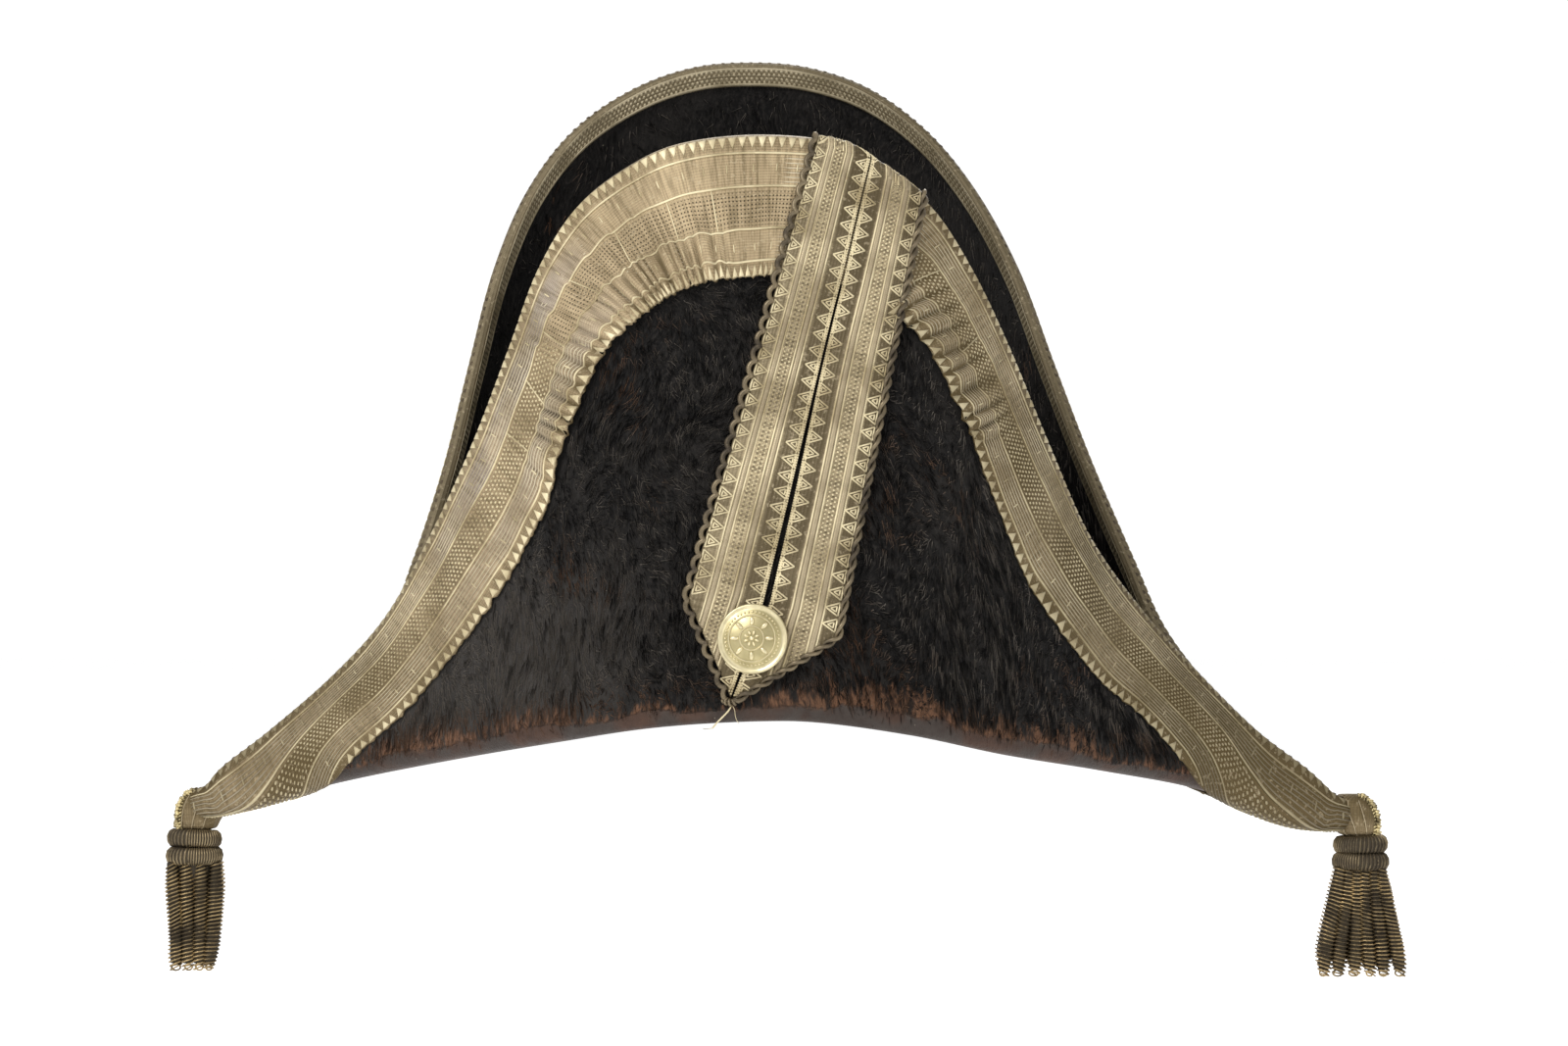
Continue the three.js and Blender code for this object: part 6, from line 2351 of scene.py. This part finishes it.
@dataclass
class Tassel:
    """A horn's tassel: folded lace end, two wound rings and bullion ropes."""

    form: HatForm
    hand: Hand
    beyond_tip: float
    tab_below: float
    ring_below: float
    ropes: int
    top_spread: float
    foot_spread: float
    seed: int
    ring_half: tuple[float, float] = (7.9, 4.9)
    ring_section: tuple[float, float] = (2.3, 3.15)
    ring_rise: float = 6.06
    gap: float = 0.5
    length: float = 41.0
    rope: float = 3.1
    wire: float = 0.33
    pitch: float = 1.5

    WINDINGS = {
        Hand.LEFT: ((0.0, 0.5, 0.8, 0.33), (0.5, 0.72, 1.25, 0.5), (0.72, 1.0, 0.8, 0.33)),
        Hand.RIGHT: ((0.0, 0.72, 0.8, 0.33), (0.72, 1.0, 1.25, 0.5)),
    }
    TAB = (
        (-1.5, 4.6, 4.6, 2.0), (0.4, 5.8, 6.2, 3.0), (1.2, 6.8, 8.2, 4.0),
        (4.0, 6.9, 9.6, 4.8), (8.0, 6.6, 12.2, 5.8), (11.0, 5.6, 12.8, 5.8),
        (14.0, 3.4, 11.0, 4.8), (16.2, 0.4, 8.0, 2.6),
    )

    def __post_init__(self) -> None:
        """Work out where the tassel hangs."""
        hand = self.hand
        reach = self.form.reach[hand]
        self.across = hand.value * (reach + self.beyond_tip)
        self.fold = float(self.form.fold_level(hand.value * (reach - self.form.tip_radius)))
        self.ring_top = self.fold - self.ring_below
        self.tab_top = self.form.tip_level[hand] - self.tab_below
        self.under = self.ring_top - 2 * (self.ring_rise + self.gap)
        self.side = hand.name.lower()

    def _tab_rings(self) -> list[tuple[float, float, float, float]]:
        """Give level, place across and half sizes of the tab from its foot up."""
        rings = []
        for up, out, back, deep in self.TAB:
            middle = self.across + self.hand.value * (out - back) / 2
            rings.append((self.ring_top + up, middle, (out + back) / 2, deep))
        return rings

    def _tab(self) -> bpy.types.Object:
        """Loft the folded lace end."""
        keys = self._tab_rings()
        levels = np.linspace(0, len(keys) - 1, 33)
        table = np.array(keys)
        smooth = np.stack(
            [smooth_column(np.arange(len(keys)), table[:, k], levels) for k in range(4)], -1
        )
        sides = 36
        angles = np.arange(sides) * TAU / sides
        points = []
        for z, x, wide, deep in smooth:
            crease = 1 + 0.05 * np.cos(angles * 9 + z * 0.3)
            points.append(stacked(
                x + wide * np.cos(angles) * crease, deep * np.sin(angles) * crease, z
            ))
        spots = np.vstack(points)
        tab = put(f"tassel_tab_{self.side}_cloth", spots, ring_faces(len(points), sides))
        add_map(
            tab,
            "flat",
            stacked(spots[:, 2], np.arctan2(spots[:, 1], spots[:, 0] - self.across) * 6),
        )
        add_shade(tab, "pattern", np.zeros(len(spots)))
        up = ramp(spots[:, 2], self.ring_top, self.ring_top + 16)
        worn = 0.1 * ripple(spots, 9, self.seed + 2)
        glow = 0.12 if self.hand is Hand.LEFT else 0.34
        add_shade(tab, "tone", np.clip(glow * (1 - up) + worn, 0, 1))
        return tab

    def _creases(self) -> Relief:
        """Draw the lace's thin light lines down the tab's front."""
        relief = Relief()
        keys = np.array(self._tab_rings()[1:-1])
        for angle in (-2.35, -1.75, -1.2):
            line = stacked(
                keys[:, 1] + keys[:, 2] * math.cos(angle) * 1.02,
                keys[:, 3] * math.sin(angle) * 1.05,
                keys[:, 0],
            )
            relief.add(*tube(smooth_line(line, 6)[0], 0.17, 5))
        return relief

    def _braid(self) -> Relief:
        """Sew the small scalloped gold cord along the tab's outer side."""
        relief = Relief()
        hand = self.hand.value
        random = np.random.default_rng(self.seed)
        rings = self._tab_rings()[1:]
        table = np.array([(x + hand * (wide - 0.1), 0.0, z) for z, x, wide, _ in rings])
        line, _ = smooth_line(table, 12)
        distances = steps_along(line)
        knot = bead_motif(1.0, 0.8, 0.75)
        places = []
        for at in np.arange(0.6, distances[-1], 1.15):
            spot = read_line(line, distances, np.array([at]))[0]
            for row in range(3):
                shift = (
                    random.uniform(-0.35, 0.35) + hand * 0.1,
                    (row - 1) * 1.5 - 1.2,
                    random.uniform(-0.3, 0.3),
                )
                places.append(spot + shift - (hand * 0.5 * abs(row - 1) - hand * 0.1, 0, 0))
        relief.copies(knot, np.array(places))
        front = line - (hand * 1.6, 2.9, 0)
        relief.add(*coil(front, 0.42, 1.3, 0.36, 10, 5))
        return relief

    def _ring(self, order: int) -> tuple[Relief, Relief]:
        """Wind one oval ring: its dark core, and the wire, coarse and bright at one end."""
        grow = 1 + 0.06 * order
        level = self.ring_top - self.ring_rise / 2 - order * (self.ring_rise + self.gap)
        angle = np.linspace(0, TAU, 121)
        tilt = 0.5 * self.hand.value * (1 if order == 0 else -0.4)
        centre = stacked(
            self.across + self.ring_half[0] * grow * np.cos(angle),
            self.ring_half[1] * grow * np.sin(angle),
            level + tilt * np.sin(angle + 0.8) * 0.7,
        )
        out = stacked(np.cos(angle), np.sin(angle), 0.0)
        up = np.zeros_like(out) + (0, 0, 1)
        core, wire = Relief(), Relief()
        core.add(*ring_tube(centre, out * self.ring_section[0], up * self.ring_section[1], 1.0, 14))
        distances = steps_along(centre)
        for start, end, pitch, size in self.WINDINGS[self.hand]:
            span = (end - start) * distances[-1]
            count = int(span / pitch * 10)
            at = start * distances[-1] + np.linspace(0, span, count)
            spot = read_line(centre, distances, at)
            side = unit(read_line(out, distances, at))
            turn = (at / pitch * TAU)[:, None]
            offset = side * np.cos(turn) * self.ring_section[0] + np.array(
                (0, 0, self.ring_section[1])
            ) * np.sin(turn)
            wire.add(*wire_tube(spot + offset * 1.03, offset, size, 4))
        return core, wire

    def _rope_lines(self) -> list[Array]:
        """Give the middle lines of the bullion ropes, in a front and a back row."""
        random = np.random.default_rng(self.seed + 5)
        lines = []
        for i in range(self.ropes):
            place = 2 * i / (self.ropes - 1) - 1
            for face in (-1, 1):
                drop = self.length * (1 - 0.045 * ((i * 3 + (face + 1)) % 3)) - 1.5
                t = np.linspace(0, 1, 40)
                bend = random.uniform(-1, 1)
                ease = t * t * (3 - 2 * t) * 0.5 + t * 0.5
                x = self.across + place * (
                    self.top_spread + (self.foot_spread - self.top_spread) * ease
                )
                x = x + bend * 0.9 * np.sin(t * math.pi * 1.3 + i) * (0.3 + 0.7 * t)
                y = face * (2.7 + 0.5 * t) + random.uniform(-0.25, 0.25) * np.sin(t * 5)
                z = self.under + 1.0 - (drop + 1.0) * t
                lines.append(stacked(x, y, z))
        return lines

    def _fringe(self) -> tuple[Relief, Relief]:
        """Wind the bullion ropes round dark cores that stand for the shade inside them."""
        wire, core = Relief(), Relief()
        random = np.random.default_rng(self.seed + 9)
        for line in self._rope_lines():
            t = np.linspace(0, 1, len(line))
            size = self.rope * (0.72 + 0.28 * ramp(t, 0, 0.25)) * (1 - 0.3 * ramp(t, 0.86, 1.0))
            points, faces = coil(line, size, self.pitch, self.wire, 14, 4, random.uniform(0, TAU))
            middle = np.interp(points[:, 2], line[::-1, 2], line[::-1, 0])
            tilt = random.uniform(0.12, 0.36) * (
                -self.hand.value if random.uniform() < 0.8 else self.hand.value
            )
            points[:, 2] += tilt * (points[:, 0] - middle) * (1 + 0.4 * np.sin(points[:, 2] * 0.3))
            wire.add(points, faces)
            # A dark core thread inside each rope, made dark to stand for the shade inside the coil.
            core.add(*tube(line[: -2], size[: -2] * 0.8, 10))
            foot = line[-1]
            turn = np.linspace(0, TAU * 1.6, 22)
            lean = random.uniform(-0.9, 0.9)
            wide = random.uniform(1.2, 1.9)
            loop = stacked(
                np.cos(turn) * wide, np.sin(turn) * lean + turn * 0.12, np.sin(turn) * 1.15
            )
            wire.add(*tube(foot + loop + (0, 0, 0.5), 0.36, 5))
        # A dark body down the fringe's middle, standing for the shade between the ropes.
        foot = self.under - self.length
        head = [
            (self.ring_top - 2.0, 7.4, 4.2), (self.under, 7.4, 4.2), (self.under - 9, 6.4, 3.2),
            (foot + 17, self.foot_spread * 0.85, 1.7), (foot + 7, self.foot_spread * 0.9, 1.2),
        ]
        line = np.array([(self.across, 0, z) for z, _, _ in head])
        side = np.array([(wide, 0, 0) for _, wide, _ in head])
        up = np.array([(0, deep, 0) for _, _, deep in head])
        core.add(*ring_tube(line, side, up, 1.0, 20))
        return wire, core

    def build(self, dresser: Dresser) -> None:
        """Build and finish the tassel.

        Args:
            dresser: what finishes it.
        """
        tab = dresser.dress(self._tab(), Finish.FRONT_LACE, "lace_dark", f"tassel_tab_{self.side}")
        braid = dresser.dress(self._braid().piece(f"tassel_braid_{self.side}"), Finish.GILT, "cord")
        lines = dresser.dress(
            self._creases().piece(f"tassel_lines_{self.side}"), Finish.SATIN, "lace_dark"
        )
        for order, label in enumerate(("upper", "lower")):
            core, wire = self._ring(order)
            node = f"tassel_ring_{label}_{self.side}"
            dresser.dress(core.piece(f"{node}_core"), Finish.CORE, "bullion", node)
            dresser.dress(wire.piece(f"{node}_wire"), Finish.RING, "bullion", node)
        wire, core = self._fringe()
        node = f"tassel_fringe_{self.side}"
        dresser.dress(core.piece(f"{node}_core"), Finish.CORE, "bullion", node)
        dresser.dress(wire.piece(f"{node}_wire"), Finish.BULLION, "bullion", node)


@dataclass
class Studio:
    """A pale floor, soft light and a camera at the photograph's angle."""

    distance: float = 2.0
    eye_level: float = 0.072
    floor_level: float = -0.16
    floor_size: float = 14.0
    lens: float = 120.0
    sensor: float = 36.0

    LOOKED_AT = (0, 0, 0.08)
    LAMPS = (
        ("key", (-1.3, -1.7, 1.7), 1.0, 42),
        ("fill", (1.6, -1.5, 0.7), 1.4, 9),
        ("back", (0.3, 1.9, 1.6), 1.2, 24),
    )

    def camera(self) -> None:
        """Place the camera."""
        data = bpy.data.cameras.new("camera")
        data.lens = self.lens
        data.sensor_width = self.sensor
        camera = bpy.data.objects.new("camera", data)
        camera.location = (0, -self.distance, self.eye_level)
        camera.rotation_euler = (math.pi / 2, 0, 0)
        bpy.context.scene.collection.objects.link(camera)
        bpy.context.scene.camera = camera

    def _lamp(self, name: str, spot: Sequence[float], size: float, power: float) -> None:
        """Hang one soft lamp that looks at the hat."""
        data = bpy.data.lights.new(name, "AREA")
        data.shape = "DISK"
        data.size = size
        data.energy = power
        lamp = bpy.data.objects.new(name, data)
        lamp.location = spot
        lamp.rotation_euler = (
            Vector(self.LOOKED_AT) - Vector(spot)
        ).to_track_quat("-Z", "Y").to_euler()
        bpy.context.scene.collection.objects.link(lamp)

    def light(self, dresser: Dresser) -> None:
        """Light the scene and lay the floor.

        Args:
            dresser: what finishes the floor.
        """
        for lamp in self.LAMPS:
            self._lamp(*lamp)
        world = bpy.data.worlds.new("white room")
        world.use_nodes = True
        nodes = Nodes(world.node_tree)
        backdrop = world.node_tree.nodes["Background"]
        backdrop.inputs["Color"].default_value = (1, 1, 1, 1)
        seen = nodes.put("LightPath").outputs["Is Camera Ray"]
        nodes.feed(backdrop.inputs["Strength"], nodes.sum("MULTIPLY_ADD", seen, 0.5, 0.55))
        bpy.context.scene.world = world
        bpy.context.scene.view_settings.view_transform = "Standard"
        bpy.ops.object.select_all(action="DESELECT")
        bpy.ops.mesh.primitive_plane_add(size=self.floor_size, location=(0, 0, self.floor_level))
        floor = bpy.context.object
        floor.name = "floor"
        bpy.ops.object.transform_apply(location=True)
        dresser.dress(floor, Finish.FLOOR, None)


def main() -> None:
    """Build the hat and the room round it."""
    logging.basicConfig(level=logging.INFO, format="%(name)s: %(message)s")
    dresser = Dresser(Workshop())
    studio = Studio()
    studio.camera()
    form = HatForm()
    FeltBody(form).build(dresser)
    front = LaceBand(
        form, Face.FRONT, "front_band", "front_lace", "lace", Finish.FRONT_LACE, "gathered", 21
    )
    front.build(dresser)
    reach = np.zeros(form.count)
    reach[front.stations % form.count] = front.depth
    back = LaceBand(
        form, Face.BACK, "back_band", "back_lace", "lace_dark", Finish.BACK_LACE, "laid", 34,
        column=2.4, rows=35, ribs=3, dot_pitch=2.7,
    )
    back.build(dresser)
    reach[back.stations % form.count] = back.depth
    Nap(form, lambda station: np.interp(station, np.arange(form.count), reach)).build(dresser)
    loop = LaceLoop(form, front)
    loop.build(dresser)
    Button(loop).build(dresser)
    Tassel(form, Hand.LEFT, 1.5, 1.5, 7.8, 4, 8.6, 6.2, 61).build(dresser)
    Tassel(form, Hand.RIGHT, 6.5, 1.0, 4.8, 6, 7.8, 14.6, 62).build(dresser)
    studio.light(dresser)
    log.info("front band %.0f mm long, back band %.0f mm", front.length, back.length)


if __name__ == "__main__":
    main()
